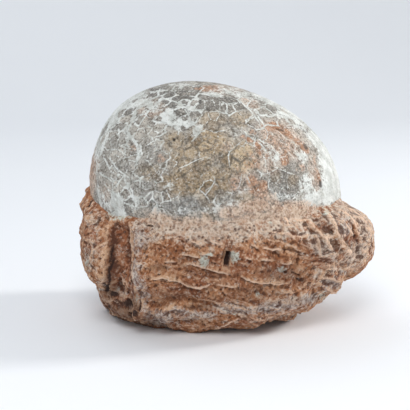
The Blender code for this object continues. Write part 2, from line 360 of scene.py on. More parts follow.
# White calcite veins: width, then the bends of the line.
VEINS = (
    (4.5, ((139, 117), (132, 123), (127, 131), (133, 139), (138, 146), (139, 156), (136, 163), (134, 170))),
    (4.0, ((110, 128), (108, 135), (103, 146), (100, 155))),
    (1.6, ((111, 150), (115, 155), (122, 158), (130, 168))),
    (2.2, ((103, 155), (107, 163), (110, 170), (115, 175))),
    (2.2, ((99, 172), (104, 176), (110, 180), (115, 183))),
    (3.2, ((123, 180), (129, 184), (131, 190), (133, 196), (138, 204))),
    (1.6, ((111, 190), (115, 187), (118, 183))), (2.0, ((154, 138), (158, 136), (163, 134), (168, 130))),
    (2.4, ((191, 142), (196, 137), (201, 132), (207, 129))),
    (1.3, ((207, 129), (215, 133), (219, 131), (228, 130))),
    (1.3, ((160, 177), (164, 170), (166, 167), (168, 160))), (1.2, ((166, 172), (170, 176))),
    (1.5, ((178, 169), (185, 166), (193, 162), (200, 159), (207, 156))),
    (1.3, ((200, 150), (199, 154), (200, 158))), (1.3, ((140, 178), (146, 176), (155, 171))),
    (1.0, ((175, 158), (181, 151))), (1.3, ((231, 141), (235, 147), (241, 142))),
    (1.7, ((235, 147), (229, 152), (228, 160), (230, 170))),
    (1.6, ((243, 130), (247, 135), (252, 138), (257, 141))),
    (2.0, ((257, 141), (263, 147), (266, 151), (271, 158), (274, 163))),
    (2.3, ((240, 100), (244, 105), (249, 110), (253, 115), (258, 121), (260, 128))),
    (1.3, ((220, 100), (220, 112))),
    (1.5, ((205, 112), (213, 111.5), (220, 112), (228, 114), (229, 119))),
    (1.4, ((224, 103), (231, 104), (240, 102.5))), (1.4, ((226, 103), (228, 113))),
    (1.8, ((249, 110), (256, 110), (260, 115), (270, 117), (278, 115), (290, 117))),
    (1.6, ((247, 124), (250, 118), (253, 115))), (1.3, ((256, 106), (267, 104), (275, 105), (285, 109))),
    (1.4, ((204, 112), (200, 119), (195, 125))), (1.0, ((212, 172), (215, 180), (216, 184), (219, 187))),
    (1.1, ((219, 187), (212, 186), (206, 190), (207, 197), (210, 203), (216, 202), (222, 199), (230, 196))),
    (1.7, ((269, 172), (269, 180), (269, 188), (272, 191), (278, 196), (288, 197), (296, 194), (300, 188))),
    (1.5, ((270, 166), (280, 169), (290, 173), (298, 176))), (1.0, ((287, 173), (287, 180), (288, 190))),
    (1.6, ((96, 150), (97, 165), (98, 180), (98, 192), (100, 203), (104, 212))),
    (2.2, ((108, 153), (112, 162), (118, 170), (126, 176), (133, 180))),
    (2.0, ((103, 146), (108, 150), (115, 149), (122, 152), (127, 158))),
    (1.8, ((115, 140), (120, 146), (128, 148), (136, 150))),
    (1.8, ((128, 168), (124, 176), (119, 182), (116, 190))),
    (1.6, ((140, 158), (147, 160), (153, 167), (160, 177))), (1.2, ((152, 205), (158, 210), (162, 215))),
    (1.3, ((156, 203), (162, 208), (168, 214))),
)

# Patches on the shell: strength, x, y, half width, half height, and a turn where there is one.
# Chalky crust first, then tan plates, rust, pinkish sand and bluish grey.
# Along the right rim the crust is laid on thick and white, partly the shell's own crust and partly painted
# highlight where the lamp at the right falls.
CHALK = (
    (1.0, 197, 108, 9, 6, 10), (1.0, 167, 117, 9, 8, 20), (0.95, 184, 122, 11, 4.5, 10),
    (0.9, 175, 125, 6, 4, 30), (0.9, 176, 104, 12, 5), (0.8, 166, 98, 14, 7), (0.85, 198, 97, 9, 4, 5),
    (0.8, 212, 94, 12, 4, 8), (0.9, 134, 118, 4, 8, 15), (0.75, 198, 131, 4, 7, 30),
    (0.85, 139, 151, 3.5, 9), (0.8, 102, 148, 2.5, 10, 14), (1.0, 115, 200, 10, 9),
    (0.95, 119, 214, 9, 8, 20), (0.75, 133, 202, 8, 9), (0.75, 157, 209, 9, 6, 15), (0.6, 169, 188, 6, 4),
    (0.5, 147, 188, 8, 4, 10), (0.55, 233, 133, 6, 4), (0.65, 273, 155, 6, 9, -20),
    (0.6, 266, 146, 4, 5, -30), (0.5, 241, 189, 6, 3.5, -40), (0.5, 225, 203, 16, 5),
    (0.5, 214, 210, 14, 5), (0.45, 180, 212, 24, 5), (0.55, 285, 198, 18, 4, 3), (1.0, 312, 199, 9, 9),
    (0.7, 307, 186, 7, 13), (0.6, 300, 154, 10, 6, 50), (1.0, 331, 172, 10, 44, -8),
    (1.0, 327, 196, 9, 16, -6), (0.8, 322, 152, 6, 22, -18), (0.9, 300, 116, 22, 5, 40),
    (0.8, 270, 101, 26, 4, 22), (0.7, 120, 104, 9, 3, -40), (0.35, 98, 172, 3, 26, 4),
    (0.9, 128, 104, 24, 8, -35), (0.8, 146, 105, 14, 8), (0.6, 122, 134, 14, 8, 30),
    (0.6, 186, 112, 16, 6, 10), (0.9, 113, 118, 9, 22, 35), (0.75, 101, 142, 5, 22, 15),
    (0.8, 285, 112, 30, 8, 38), (0.9, 316, 140, 6, 18, -35), (0.7, 238, 94, 24, 5, 14),
    (0.55, 176, 87, 26, 4, -8), (0.5, 250, 92, 22, 5, 18), (0.4, 205, 104, 12, 4), (0.6, 104, 203, 8, 18),
)
OCHRE = (
    (1.0, 208, 142, 22, 15), (0.95, 238, 158, 20, 18), (0.9, 192, 160, 22, 18), (1.0, 186, 182, 26, 13),
    (1.0, 214, 182, 20, 16), (0.75, 176, 142, 12, 10), (0.7, 240, 120, 12, 8), (0.6, 212, 120, 14, 8),
    (0.5, 276, 178, 5, 8), (0.6, 293, 180, 6, 6), (0.6, 150, 172, 12, 8), (0.6, 209, 215, 6, 4),
    (0.7, 205, 200, 8, 8), (0.7, 244, 198, 10, 6), (0.5, 170, 196, 5, 5), (0.8, 213, 193, 5, 6),
)
RUST = (
    (0.75, 209, 88, 15, 3.5, 2), (1.0, 277, 127, 9, 3.5, 25), (0.9, 286, 133, 11, 3, 32),
    (0.7, 298, 141, 6, 2.5, 40), (0.6, 268, 128, 8, 5), (0.9, 258, 149, 3.5, 8, -12),
    (0.9, 249, 140, 4, 2.5, 20), (0.7, 252, 134, 4, 3), (0.6, 243, 137, 4, 3), (0.85, 284, 158, 4.5, 8),
    (0.7, 268, 156, 3, 4), (0.8, 259, 191, 10, 11, 10), (0.7, 252, 182, 5, 7), (0.6, 256, 166, 6, 6),
    (0.55, 236, 184, 7, 7), (0.9, 305, 148, 3, 6, -30), (0.5, 316, 172, 2.6, 20, -8),
    (1.0, 320, 182, 1.6, 9, -12), (0.5, 250, 99, 9, 3, 15), (0.6, 90, 178, 4, 22, 5),
    (0.5, 271, 140, 9, 4, 35), (0.5, 290, 147, 7, 4, 40), (0.5, 248, 160, 6, 9),
    (0.6, 276, 127, 8, 5, 20), (0.5, 266, 200, 16, 5), (0.4, 132, 146, 3, 4), (0.5, 278, 145, 4, 3),
    (0.5, 240, 172, 7, 5), (0.5, 300, 168, 6, 5), (0.4, 162, 159, 5, 5),
)
BLUSH = (
    (0.95, 282, 140, 26, 15, 35), (0.7, 268, 158, 15, 15), (0.6, 246, 182, 14, 12),
    (0.6, 151, 108, 14, 10), (0.6, 225, 89, 16, 4, 3), (1.0, 92, 176, 6, 28, 5), (0.7, 222, 90, 20, 4, 4),
    (0.6, 262, 152, 10, 14), (0.6, 313, 175, 4, 24, -6), (0.6, 250, 104, 10, 5, 20),
    (0.5, 105, 192, 6, 9), (0.5, 226, 146, 6, 5), (0.6, 290, 206, 22, 5), (0.6, 240, 207, 20, 6),
)
SLATE = (
    (1.0, 184, 206, 19, 8), (0.8, 150, 199, 12, 8, 20), (0.6, 140, 186, 12, 10), (0.7, 222, 195, 8, 6),
    (0.5, 130, 172, 14, 12), (0.6, 280, 190, 12, 6), (0.5, 309, 190, 4, 8), (0.4, 120, 140, 12, 14),
    (0.5, 150, 150, 10, 14),
)
# Where the rock's pinkish film runs out thin on the shell, and where it lies thick.
FILM_AREAS = ((1.0, 232, 222, 92, 26),)
THICK_FILM = (
    (1.0, 300, 212, 40, 9, 4), (0.95, 256, 207, 18, 9, -8), (0.8, 232, 213, 16, 7),
    (0.6, 165, 218, 16, 5), (0.5, 195, 219, 18, 3.5), (0.6, 268, 198, 12, 8, 20), (0.7, 300, 205, 16, 6),
    (0.6, 91, 192, 5, 20, 6),
)
# Dark marks: pits, and the dark rims of a few plates.
DARK_SPOTS = (
    (1.0, 173.5, 139.6, 1.9, 1.7, -20), (0.55, 245, 183, 2.4, 3.4, 25), (0.7, 200, 101.5, 1.6, 2.4),
    (0.45, 206, 187, 2.6, 2.4), (0.4, 272, 186, 3.6, 2.4), (0.4, 289, 191, 3.0, 2.0),
    (0.7, 305.5, 147, 1.5, 4.2, -28), (0.35, 236, 144, 3.2, 3.0), (0.5, 207, 110, 2.0, 1.6),
    (0.55, 212, 199, 3, 1.5), (0.9, 321, 184, 1.1, 4.5, -12), (0.7, 280, 129.5, 5, 1.3, 12),
    (0.35, 286, 136, 6, 1.4, 35),
)
DARK_LINES = (
    (0.5, 1.6, ((143, 118.5), (150, 119), (158, 120.5), (165, 123), (170, 128))),
    (0.75, 0.9, ((305, 123), (312, 130), (319, 138))), (0.75, 0.9, ((305, 135), (313, 143))),
    (0.6, 1.0, ((206, 93.5), (217, 97.5))), (1.0, 1.4, ((110, 213), (112, 211), (115, 210.5))),
    (0.4, 1.2, ((208, 172), (211, 175), (214, 180))),
    (0.45, 1.4, ((209, 187), (207, 192), (208, 197), (212, 200), (216, 197), (218, 191), (215, 186))),
    (0.5, 1.2, ((247, 125.5), (257, 125.5))), (0.6, 1.1, ((294, 143), (298, 146), (301, 147))),
    (0.5, 1.4, ((270, 180), (270, 186), (274, 188))), (0.5, 1.2, ((219, 115), (225, 118), (230, 121))),
    (0.35, 1.2, ((171, 129), (180, 128), (190, 129))), (0.35, 1.2, ((176, 157), (180, 153), (186, 151))),
    (0.35, 1.2, ((205, 153), (212, 154), (212, 159))), (0.4, 1.2, ((192, 143), (197, 139), (205, 132))),
    (0.35, 1.2, ((258, 160), (260, 166), (258, 171))),
)


def egg_plates(points, place, facing):
    """The plates' middles, tones, borders and bare parts: the named ones at the front, put on
    the shell point that stands nearest in the frame, and the rest scattered over the shell."""
    draw = np.random.RandomState(PLATE_SEED)
    shown = facing.reshape(-1) > 0.05
    front_points = points.reshape(-1, 3)[shown]
    front_place = place.reshape(-1, 2)[shown]
    groups = (((x, y, *group[:3]) for x, y in group[3]) for group in FRONT_PLATES)
    named = np.array([plate for group in groups for plate in group])
    off = np.linalg.norm(front_place[:, None] - named[None, :, :2], axis=-1)
    middles = front_points[off.argmin(axis=0)]
    # The others lie on a spiral from the bottom up, each a golden turn on and a little off it.
    count = int(4 * math.pi * MEAN_RADIUS**2 / BACK_PLATE_SPACING**2)
    step = np.arange(count) + 0.5
    low = np.degrees(np.arcsin(1 - 2 * step / count)) + draw.normal(0, 2.0, count)
    turn = GOLDEN_TURN * step % 360 + draw.normal(0, 2.5, count)
    ray = rays(turn, low)
    others = EGG_CENTRE + ray * egg_reach(ray)[:, None]
    apart = np.linalg.norm(others[:, None] - middles[None], axis=-1).min(axis=1)
    others = others[apart > FRONT_PLATE_CLEARANCE]
    chalky = eased_step(rough_mottle(others, 45, 5, 2), -0.15, 0.35)
    tone = np.clip(0.45 - 0.3 * chalky + draw.normal(0, TONE_SPREAD, len(others)), 0, 1)
    border = 0.08 + 0.4 * chalky * draw.uniform(0.5, 1.2, len(others))
    bare = 3.2 * (chalky > 0.5) * draw.uniform(0.5, 1.1, len(others))
    named_tone = np.clip(named[:, 2] + draw.normal(0, TONE_SPREAD, len(named)), 0, 1)
    named_border = named[:, 3] * draw.uniform(0.35, 1.6, len(named))
    return (
        np.concatenate([middles, others]),
        np.concatenate([named_tone, tone]),
        np.concatenate([named_border, border]) * MM,
        np.concatenate([named[:, 4], bare]) * MM,
    )


def nearest_two(points, middles):
    """Which middle is nearest to each point, and how far the point is from the border with the
    second nearest: the difference of the squared distances over twice their middles' distance."""
    flat = points.reshape(-1, 3)
    nearest = np.empty(len(flat), int)
    border = np.empty(len(flat))
    at_once = 6000
    for start in range(0, len(flat), at_once):
        part = flat[start : start + at_once]
        squares = (part**2).sum(1)[:, None] - 2 * part @ middles.T + (middles**2).sum(1)
        two = np.argpartition(squares, 1, axis=1)[:, :2]
        found = np.take_along_axis(squares, two, axis=1)
        apart = np.linalg.norm(middles[two[:, 0]] - middles[two[:, 1]], axis=1)
        nearest[start : start + at_once] = two[np.arange(len(part)), found.argmin(axis=1)]
        border[start : start + at_once] = np.abs(found[:, 0] - found[:, 1]) / (2 * apart)
    return nearest.reshape(points.shape[:-1]), border.reshape(points.shape[:-1])


egg_azimuth = column_azimuths(EGG_COLUMNS, EGG_FRONT_CROWDING)
egg_lip, _ = lip_line(egg_azimuth)
sunk_share = np.arange(1, EGG_ROWS_BELOW)[::-1, None] / EGG_ROWS_BELOW
bare_share = np.arange(EGG_ROWS_ABOVE)[:, None] / EGG_ROWS_ABOVE
egg_depression = np.concatenate(
    [egg_lip + (90 - egg_lip) * sunk_share, egg_lip - (egg_lip + 90) * bare_share]
)
egg_ray = rays(egg_azimuth, egg_depression)
flat_azimuth, flat_depression, flat_width, flat_height = FLAT_PLACE
sideways = ((egg_azimuth + 360) % 360 - flat_azimuth) * np.cos(np.radians(egg_depression))
flattened = (sideways / flat_width) ** 2 + ((egg_depression - flat_depression) / flat_height) ** 2
shell_reach = egg_reach(egg_ray) - FLAT_DEPTH * np.exp(-flattened)
egg_points = EGG_CENTRE + egg_ray * shell_reach[..., None]
egg_place = in_frame(egg_points)
egg_facing = to_camera(egg_points, outward(egg_points))
# The named marks run a little round the edge of the view and fade out unevenly behind it.
egg_front = eased_step(egg_facing + 0.35 * rough_mottle(egg_points, 24, 6, 4), -0.42, -0.06)
egg_behind = 1 - egg_front
egg_above_lip = shell_reach * np.radians(egg_lip - egg_depression) / MM

# The plates: each point belongs to the nearest middle, and moving the points about bends the
# borders. Round its middle a plate may show through the white crust.
plate_middles, plate_tones, plate_borders, plate_bare = egg_plates(
    egg_points, egg_place, egg_facing
)
bent_points = egg_points + 1.3 * MM * wander(egg_points, 5, (60, 61, 62), 3)
plate, to_border = nearest_two(bent_points, plate_middles)
uneven_border = 1.1 * plate_borders[plate] * (1 + 0.8 * rough_mottle(egg_points, 5, 66, 2))
inside_border = (to_border - uneven_border) / MM
faintness = np.clip(0.4 + plate_borders[plate] / MM / 0.42, 0, 1)
broken_up = eased_step(rough_mottle(egg_points, 6, 68, 3), -0.35, 0.15)
web = (1 - eased_step(inside_border, -0.15, 0.3)) * faintness * (0.35 + 0.65 * broken_up)
tone = plate_tones[plate]
from_middle = np.linalg.norm(bent_points - plate_middles[plate], axis=-1)
from_middle = from_middle * (1 + 0.5 * rough_mottle(egg_points, 3.5, 74, 2))
bare = 1 - eased_step(from_middle - plate_bare[plate], -0.5 * MM, 0.4 * MM)
bare = bare * eased_step(inside_border, -0.2, 0.3)

# Veins, patches, marks and film.
fine_place = warped(egg_place, egg_points, 1.1, 3, 71)
broad_place = warped(egg_place, egg_points, 2.6, 6, 81)
veins = drawn(fine_place, VEINS) * egg_front * (0.8 + 0.2 * broken_up)
chalk, ochre, rust, blush, slate = (
    marked(broad_place, blots, edge, egg_front, egg_behind, egg_points, *strewn)
    for blots, edge, *strewn in (
        (CHALK, 0.6, 30, 90, 0.12, 0.4),
        (OCHRE, 0.35, 24, 91, 0.05, 0.4),
        (RUST, 0.35, 18, 92, 0.28, 0.5),
        (BLUSH, 0.35, 26, 93, 0.1, 0.4),
        (SLATE, 0.35, 34, 94, 0.1, 0.4),
    )
)
dark = blotted(fine_place, DARK_SPOTS)
for strength, *line in DARK_LINES:
    dark = np.maximum(dark, strength * drawn(fine_place, [line], 0.5))
dark = dark * egg_front
film_here = np.maximum(blotted(broad_place, FILM_AREAS) * egg_front, 0.7 * egg_behind)
film_edge = 3.2 + 4.5 * rough_mottle(egg_points, 14, 7)
film = film_here * (1 - eased_step(egg_above_lip, film_edge - 5, film_edge + 5))
film = np.maximum(film, blotted(broad_place, THICK_FILM, 0.6) * egg_front)
outline = (1 - eased_step(np.abs(inside_border - 0.2), 0.12, 0.45)) * (1.1 - 0.7 * faintness)
outline = outline * (1 - 0.6 * broken_up) * (1 + 0.55 * ochre)

# How far the surface stands out from the plain shell, in millimetres.
dome = np.clip(inside_border, 0, 3) / 3
egg_out = (
    0.18 * rough_mottle(egg_points, 22, 3, 2)
    + 0.10 * (tone - 0.4)
    + 0.12 * dome
    - 0.10 * web
    + 0.14 * veins
    + 0.16 * chalk * (1 + 0.6 * rough_mottle(egg_points, 2.4, 17, 2))
    + 0.10 * rough_mottle(egg_points, 1.6, 21, 2)
    + 0.30 * blush * rough_mottle(egg_points, 3, 33, 3)
    + 0.30 * rust * (rough_mottle(egg_points, 3, 37, 3) - 0.3)
    - 0.70 * dark
) * MM
egg_rings = egg_points + egg_ray * egg_out[..., None]
down = np.array((0.0, 0, -1))
egg = closed_grid(
    "egg_shell",
    EGG_CENTRE + down * egg_reach(down),
    egg_rings,
    egg_rings[-1].mean(axis=0),
)
shell_amounts = dict(
    tone=tone, bare=bare, web=web, veins=veins, chalk=chalk, ochre=ochre, rust=rust,
    blush=blush, slate=slate, dark=dark, outline=outline, film=film,
)
for name, amounts in shell_amounts.items():
    stain(egg, name, amounts)


def tint(screen):
    """A colour from its red, green and blue on a screen, 0 to 255, each to the power 2.2."""
    return tuple((value / 255) ** 2.2 for value in screen) + (1.0,)


class Finish:
    """A stone's node material, built a node at a time."""

    def __init__(self, name, roughness):
        self.material = bpy.data.materials.new(name)
        self.material.use_nodes = True
        self.tree = self.material.node_tree
        self.shader = self.tree.nodes["Principled BSDF"]
        self.shader.inputs["Roughness"].default_value = roughness
        self.place = self.tree.nodes.new("ShaderNodeTexCoord").outputs["Object"]

    def put(self, value, socket):
        """Links a socket, or sets the number or colour, on another node's input."""
        if isinstance(value, bpy.types.NodeSocket):
            self.tree.links.new(value, socket)
        else:
            socket.default_value = value

    def node(self, kind, values, **settings):
        """A new node of a kind, with its settings and then its inputs."""
        node = self.tree.nodes.new("ShaderNode" + kind)
        for name, setting in settings.items():
            setattr(node, name, setting)
        for socket, value in values.items():
            self.put(value, node.inputs[socket])
        return node

    def layer(self, name):
        """The amount that the mesh carries under that name."""
        return self.node("Attribute", {}, attribute_name=name).outputs["Fac"]

    def noise(self, place, size_mm, detail=2.0, roughness=0.5):
        """Solid noise with its largest features about this size."""
        scale = 1 / (size_mm * MM)
        values = {"Vector": place, "Scale": scale, "Detail": detail, "Roughness": roughness}
        return self.node("TexNoise", values)

    def grain(self, size_mm, detail, roughness=0.6):
        """Noise from 0 to 1."""
        return self.noise(self.place, size_mm, detail, roughness).outputs[0]

    def streaks(self, size_mm, stretch, turn):
        """Noise drawn out by stretch along a line that falls to the right by the turn in
        degrees: the place is turned into that line's frame and divided by the stretch."""
        values = {
            "Vector": self.place,
            "Rotation": (0, math.radians(turn), 0),
            "Scale": (stretch, 1, 1),
        }
        drawn_out = self.node("Mapping", values, vector_type="TEXTURE").outputs["Vector"]
        return self.noise(drawn_out, size_mm, 3.0, 0.65).outputs[0]

    def cells(self, size_mm, bend_mm, bend_size_mm, **settings):
        """Packed cells of about this size, their borders bent by noise of another size."""
        bend = self.noise(self.place, bend_size_mm).outputs["Color"]
        values = {0: bend, 1: (2 * bend_mm * MM,) * 3, 2: self.place}
        bent = self.node("VectorMath", values, operation="MULTIPLY_ADD").outputs["Vector"]
        return self.node("TexVoronoi", {"Vector": bent, "Scale": 1 / (size_mm * MM)}, **settings)

    def crumbs(self, size_mm, bend_mm):
        """Packed grains: the distance to a grain's middle, and each grain's own number from 0
        to 1."""
        cells = self.cells(size_mm, bend_mm, size_mm)
        number = self.node("SeparateColor", {"Color": cells.outputs["Color"]})
        return cells.outputs["Distance"], number.outputs["Red"]

    def cracks(self, size_mm, bend_mm, width):
        """1 on the thin borders between cells, 0 inside them; the width is a share of a cell."""
        cells = self.cells(size_mm, bend_mm, size_mm / 1.5, feature="DISTANCE_TO_EDGE")
        return self.between(cells.outputs["Distance"], width, 0.3 * width)

    def between(self, value, low, high, start=0.0, end=1.0):
        """A smooth step from start to end as the value goes from low to high."""
        values = dict(enumerate((value, low, high, start, end)))
        return self.node("MapRange", values, interpolation_type="SMOOTHSTEP").outputs["Result"]

    def sum_up(self, operation, first, second):
        """Plain arithmetic of two values."""
        return self.node("Math", {0: first, 1: second}, operation=operation).outputs["Value"]

    def plus(self, first, second):
        """The sum of two values."""
        return self.sum_up("ADD", first, second)

    def times(self, first, second):
        """The product of two values."""
        return self.sum_up("MULTIPLY", first, second)

    def over(self, under, upper, amount):
        """One colour, or screen colour, laid over another by an amount."""
        under, upper = (tint(side) if isinstance(side, tuple) else side for side in (under, upper))
        return self.node("Mix", {0: amount, 6: under, 7: upper}, data_type="RGBA").outputs[2]

    def flecked(self, under, *coats):
        """Coats laid one over another, each (colour, noise, low, high, most): a coat goes from
        nothing to its most as the noise goes from low to high."""
        for upper, noise, low, high, most in coats:
            under = self.over(under, upper, self.between(noise, low, high, 0.0, most))
        return under

    def finish(self, colour, roughness, height, height_mm):
        """The last links: the colour, the roughness, and a bump from a height of 0 to 1 that
        stands for this many millimetres."""
        bump = self.node("Bump", {"Height": height, "Strength": 1.0, "Distance": height_mm * MM})
        self.put(colour, self.shader.inputs["Base Color"])
        self.put(roughness, self.shader.inputs["Roughness"])
        self.put(bump.outputs["Normal"], self.shader.inputs["Normal"])


shell = Finish("fossil shell", 0.62)
on_shell = {name: shell.layer(name) for name in shell_amounts}
fine = shell.grain(1.2, 4, 0.75)
medium = shell.grain(3.4, 5, 0.7)
cloud = shell.grain(7.0, 4)
speck, speck_number = shell.crumbs(1.2, 0.4)
streak = shell.streaks(1.5, 7, 54)
ragged = shell.between(fine, 0.36, 0.64, -0.2, 0.2)
smeared = shell.plus(ragged, shell.between(medium, 0.34, 0.66, -0.26, 0.26))

# Plates from dark grey to pale, tan where the crust has worn off, and bluish grey low down.
colour = shell.over((108, 105, 100), (214, 206, 194), on_shell["tone"])
ochre_colour = shell.over((128, 104, 74), (210, 183, 145), on_shell["tone"])
ochre_colour = shell.flecked(ochre_colour, ((126, 106, 78), cloud, 0.5, 0.68, 0.45))
ochre_amount = shell.times(on_shell["ochre"], shell.between(medium, 0.3, 0.55, 0.45, 1.0))
colour = shell.over(colour, ochre_colour, ochre_amount)
colour = shell.over(colour, (150, 153, 152), shell.times(on_shell["slate"], 0.5))

# Pinkish sand, streaked down to the right, and rust.
blush_colour = shell.over((196, 152, 124), (230, 212, 194), shell.between(medium, 0.4, 0.6))
colour = shell.over(colour, blush_colour, shell.times(on_shell["blush"], 0.75))
for streak_colour, low, high, most in (
    ((240, 234, 226), 0.53, 0.64, 0.9),
    ((130, 98, 76), 0.46, 0.34, 0.75),
):
    streaked = shell.times(on_shell["blush"], shell.between(streak, low, high, 0.0, most))
    colour = shell.over(colour, streak_colour, streaked)
rust_amount = shell.between(shell.plus(on_shell["rust"], smeared), 0.25, 0.95, 0.0, 0.9)
rust_colour = shell.over((148, 98, 66), (206, 154, 114), shell.between(fine, 0.4, 0.62))
colour = shell.over(colour, rust_colour, rust_amount)

# Pale and dark grain, dots, fine cracks and the dark rims of plates.
colour = shell.flecked(
    colour,
    ((218, 210, 198), medium, 0.54, 0.72, 0.5),
    ((96, 84, 70), medium, 0.47, 0.34, 0.8),
    ((208, 200, 188), speck, 0.5, 0.8, 0.3),
    ((78, 68, 54), fine, 0.485, 0.35, 0.9),
)
dots = shell.times(shell.between(speck, 0.34, 0.14), shell.between(speck_number, 0.62, 0.7))
colour = shell.over(colour, (72, 60, 46), shell.times(dots, 0.75))
colour = shell.flecked(colour, ((236, 230, 218), fine, 0.545, 0.69, 0.75))
glaze = shell.times(rust_amount, shell.between(fine, 0.38, 0.62, 0.6, 0.15))
colour = shell.over(colour, (164, 112, 76), glaze)
cracks = shell.times(shell.cracks(4.0, 1.2, 0.05), shell.between(cloud, 0.42, 0.58, 0.0, 0.2))
colour = shell.over(colour, (84, 72, 58), cracks)
colour = shell.over(colour, (80, 70, 58), shell.times(on_shell["outline"], 0.72))

# White crust, the web between the plates and the veins.
crust = shell.between(shell.plus(on_shell["chalk"], smeared), 0.28, 0.8, 0.0, 0.92)
uncovered = shell.sum_up("SUBTRACT", on_shell["bare"], ragged)
crust = shell.times(crust, shell.between(uncovered, 0.3, 0.7, 1.0, 0.08))
thin_lines = shell.between(shell.plus(on_shell["web"], smeared), 0.28, 0.78, 0.0, 0.9)
vein_lines = shell.between(shell.plus(on_shell["veins"], ragged), 0.2, 0.85, 0.0, 0.85)
lines = shell.sum_up("MAXIMUM", thin_lines, vein_lines)
white = shell.over((200, 202, 196), (234, 236, 232), shell.between(cloud, 0.4, 0.6))
white = shell.flecked(
    white,
    ((176, 168, 158), streak, 0.46, 0.32, 0.6),
    ((166, 164, 154), fine, 0.46, 0.32, 0.6),
    ((244, 246, 243), fine, 0.53, 0.7, 0.6),
)
colour = shell.over(colour, white, shell.sum_up("MAXIMUM", crust, lines))

# The rock's film over the foot of the shell, and dark marks on top of all.
film_amount = shell.between(shell.plus(on_shell["film"], smeared), 0.2, 1.0, 0.0, 0.92)
film_colour = shell.over((180, 136, 106), (216, 190, 166), shell.between(medium, 0.4, 0.6))
film_colour = shell.flecked(
    film_colour,
    ((232, 216, 202), fine, 0.52, 0.66, 0.8),
    ((240, 230, 220), streak, 0.58, 0.7, 0.6),
    ((104, 72, 54), fine, 0.48, 0.36, 0.8),
)
colour = shell.over(colour, film_colour, film_amount)
colour = shell.flecked(colour, ((48, 38, 30), on_shell["dark"], 0.05, 1.0, 0.92))
height = shell.plus(shell.times(fine, 0.75), shell.times(speck, 0.25))
shell.finish(colour, shell.between(medium, 0.35, 0.65, 0.5, 0.75), height, 0.6)
egg.data.materials.append(shell.material)
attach(egg, "root")
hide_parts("egg")


# The rock: the loose lump of granular red sandstone that the egg was found in, worked free with
# a chisel. It is cemented to the shell and feathers out on it as a pinkish film. Its front shows
# broken faces, chisel marks with pale edges, pits, an arched hollow and an upright rib.
LIP_BLEND = 1.2 * MM  # how gradually the rock's faces run out into the lip
LIP_FIT = 5  # how closely the rock keeps to its flare and then to its faces
LIP_CALM = 7 * MM  # no forms of its own this near to the lip
CAD_LIP = 0.9 * MM  # the rock's least thickness in the solid, where the lip can't feather out
# Here it does: it starts under the shell's surface and stands proud of it a little below.
LIP_SUNK = -0.25 * MM
LIP_PROUD = 0.55 * MM
LIP_RISE = 3.0 * MM

# A rounded block of broken faces: azimuth and elevation that a face looks to, in degrees, and
# its distance from the egg's centre in mm.
FACE_SHARPNESS = 15
ROCK_FACES = (
    ("front", -90, -14, 66), ("front low", -92, -50, 82), ("front left", -138, -8, 77),
    ("front left low", -138, -44, 91), ("front right", -50, -14, 77), ("front right low", -45, -54, 90),
    ("front right underside", -75, -66, 83), ("left", 180, -2, 75.5), ("left low", 180, -32, 91),
    ("left underside", 180, -56, 105), ("right shoulder", 0, 64, 26), ("right upper", 0, 34, 65),
    ("right", -2, -14, 94), ("right low", -2, -38, 101), ("right underside", -4, -58, 91),
    ("back", 90, -14, 66), ("back low", 88, -52, 83), ("back left", 138, -10, 76),
    ("back left low", 135, -46, 86), ("back right", 45, -14, 77), ("back right low", 45, -50, 86),
)
# Lumps and hollows: azimuth, depression, half width and half height in degrees, mm outwards.
LUMPS = (
    ("right knob", 0, 26, 13, 13, 3), ("left lobe", 176, 24, 16, 16, 1.5),
    ("back boss", 70, 34, 22, 14, 3), ("back hollow", 112, 30, 14, 16, -4),
    ("right undercut", -20, 64, 26, 12, -2), ("fill under the knob", -4, 34.4, 14, 4.4, 3.0),
    ("top of the knob", 6, 7.5, 24, 3.6, -10), ("side of the knob", 0, 15.5, 14, 5, -1.3),
    ("hollow of the right front", -27, 38.0, 13, 5.2, -3.4), ("low front right", -56, 55, 13, 6.0, 3.2),
    ("flat of the low right", -10, 40.5, 18, 3.4, -2), ("end of the low right", -21, 51, 15, 4.5, -4.5),
    ("raised underside", -70, 67, 12, 5, -2), ("raised left underside", -146, 57, 13, 4.5, -3),
    ("foot of the front", -114, 61, 10, 5, 2.6),
    ("chipped top of the left lobe", 182, 3.6, 26, 3.0, -4.2),
    ("notch under the tip", 181, 11.8, 20, 3.4, -2.2), ("belly of the left lobe", 180, 27, 22, 5, 1.5),
    ("left front under the lobe", 199, 38, 12, 5, -2.4),
)
# Forms of the front face, in mm: to the right of the egg's centre and above it, half width, half
# height, outwards.
FRONT_FORMS = (
    ("arched hollow", -51, -27, 7.5, 15.5, -8), ("rough hollow below it", -49, -53, 7, 9, -3.5),
    ("edge of the left lobe", -62, -30, 4.5, 18, 2.5), ("upright rib", -39.5, -30, 4.2, 22, 3),
    ("foot of the rib", -38.5, -58, 4.5, 9, 3), ("left end of the ledge", -27, -38.5, 9, 3, 2.6),
    ("right end of the ledge", -8, -40.5, 12, 3, 2.2), ("slot over the ledge", -31, -34, 5, 2.4, -2.4),
    ("groove over the keel", -16, -53.5, 20, 2.8, -3.2), ("keel", -19, -60, 16, 4, 2.2),
    ("swelling of the middle", 10, -32, 20, 12, 1.6), ("pit by the middle", 6, -26, 2.2, 4.5, -3.4),
    ("granular hollow", 56, -14, 6.5, 4, -3.2), ("pit beside it", 47, -12, 2.6, 2.6, -2),
    ("pit below it", 43.5, -29.5, 2.6, 2.6, -2), ("groove of the knob", 66.5, -33, 4, 10, -2.4),
    ("facet of the knob", 69.5, -15, 5, 6, 1.4), ("hollow of the knob", 74, -21.5, 3.5, 5, -2),
    ("right bulge", 38, -50, 15, 8, 2), ("left side of the arched hollow", -56, -31, 3.6, 13, 4.5),
)
# Broad unevenness: wavelength and height of each size in mm, and the waves in each.
ROUGHNESS = ((46, 1.6), (21, 0.9), (11, 0.6))
WAVES = 9
ROUGHNESS_SEED = 7

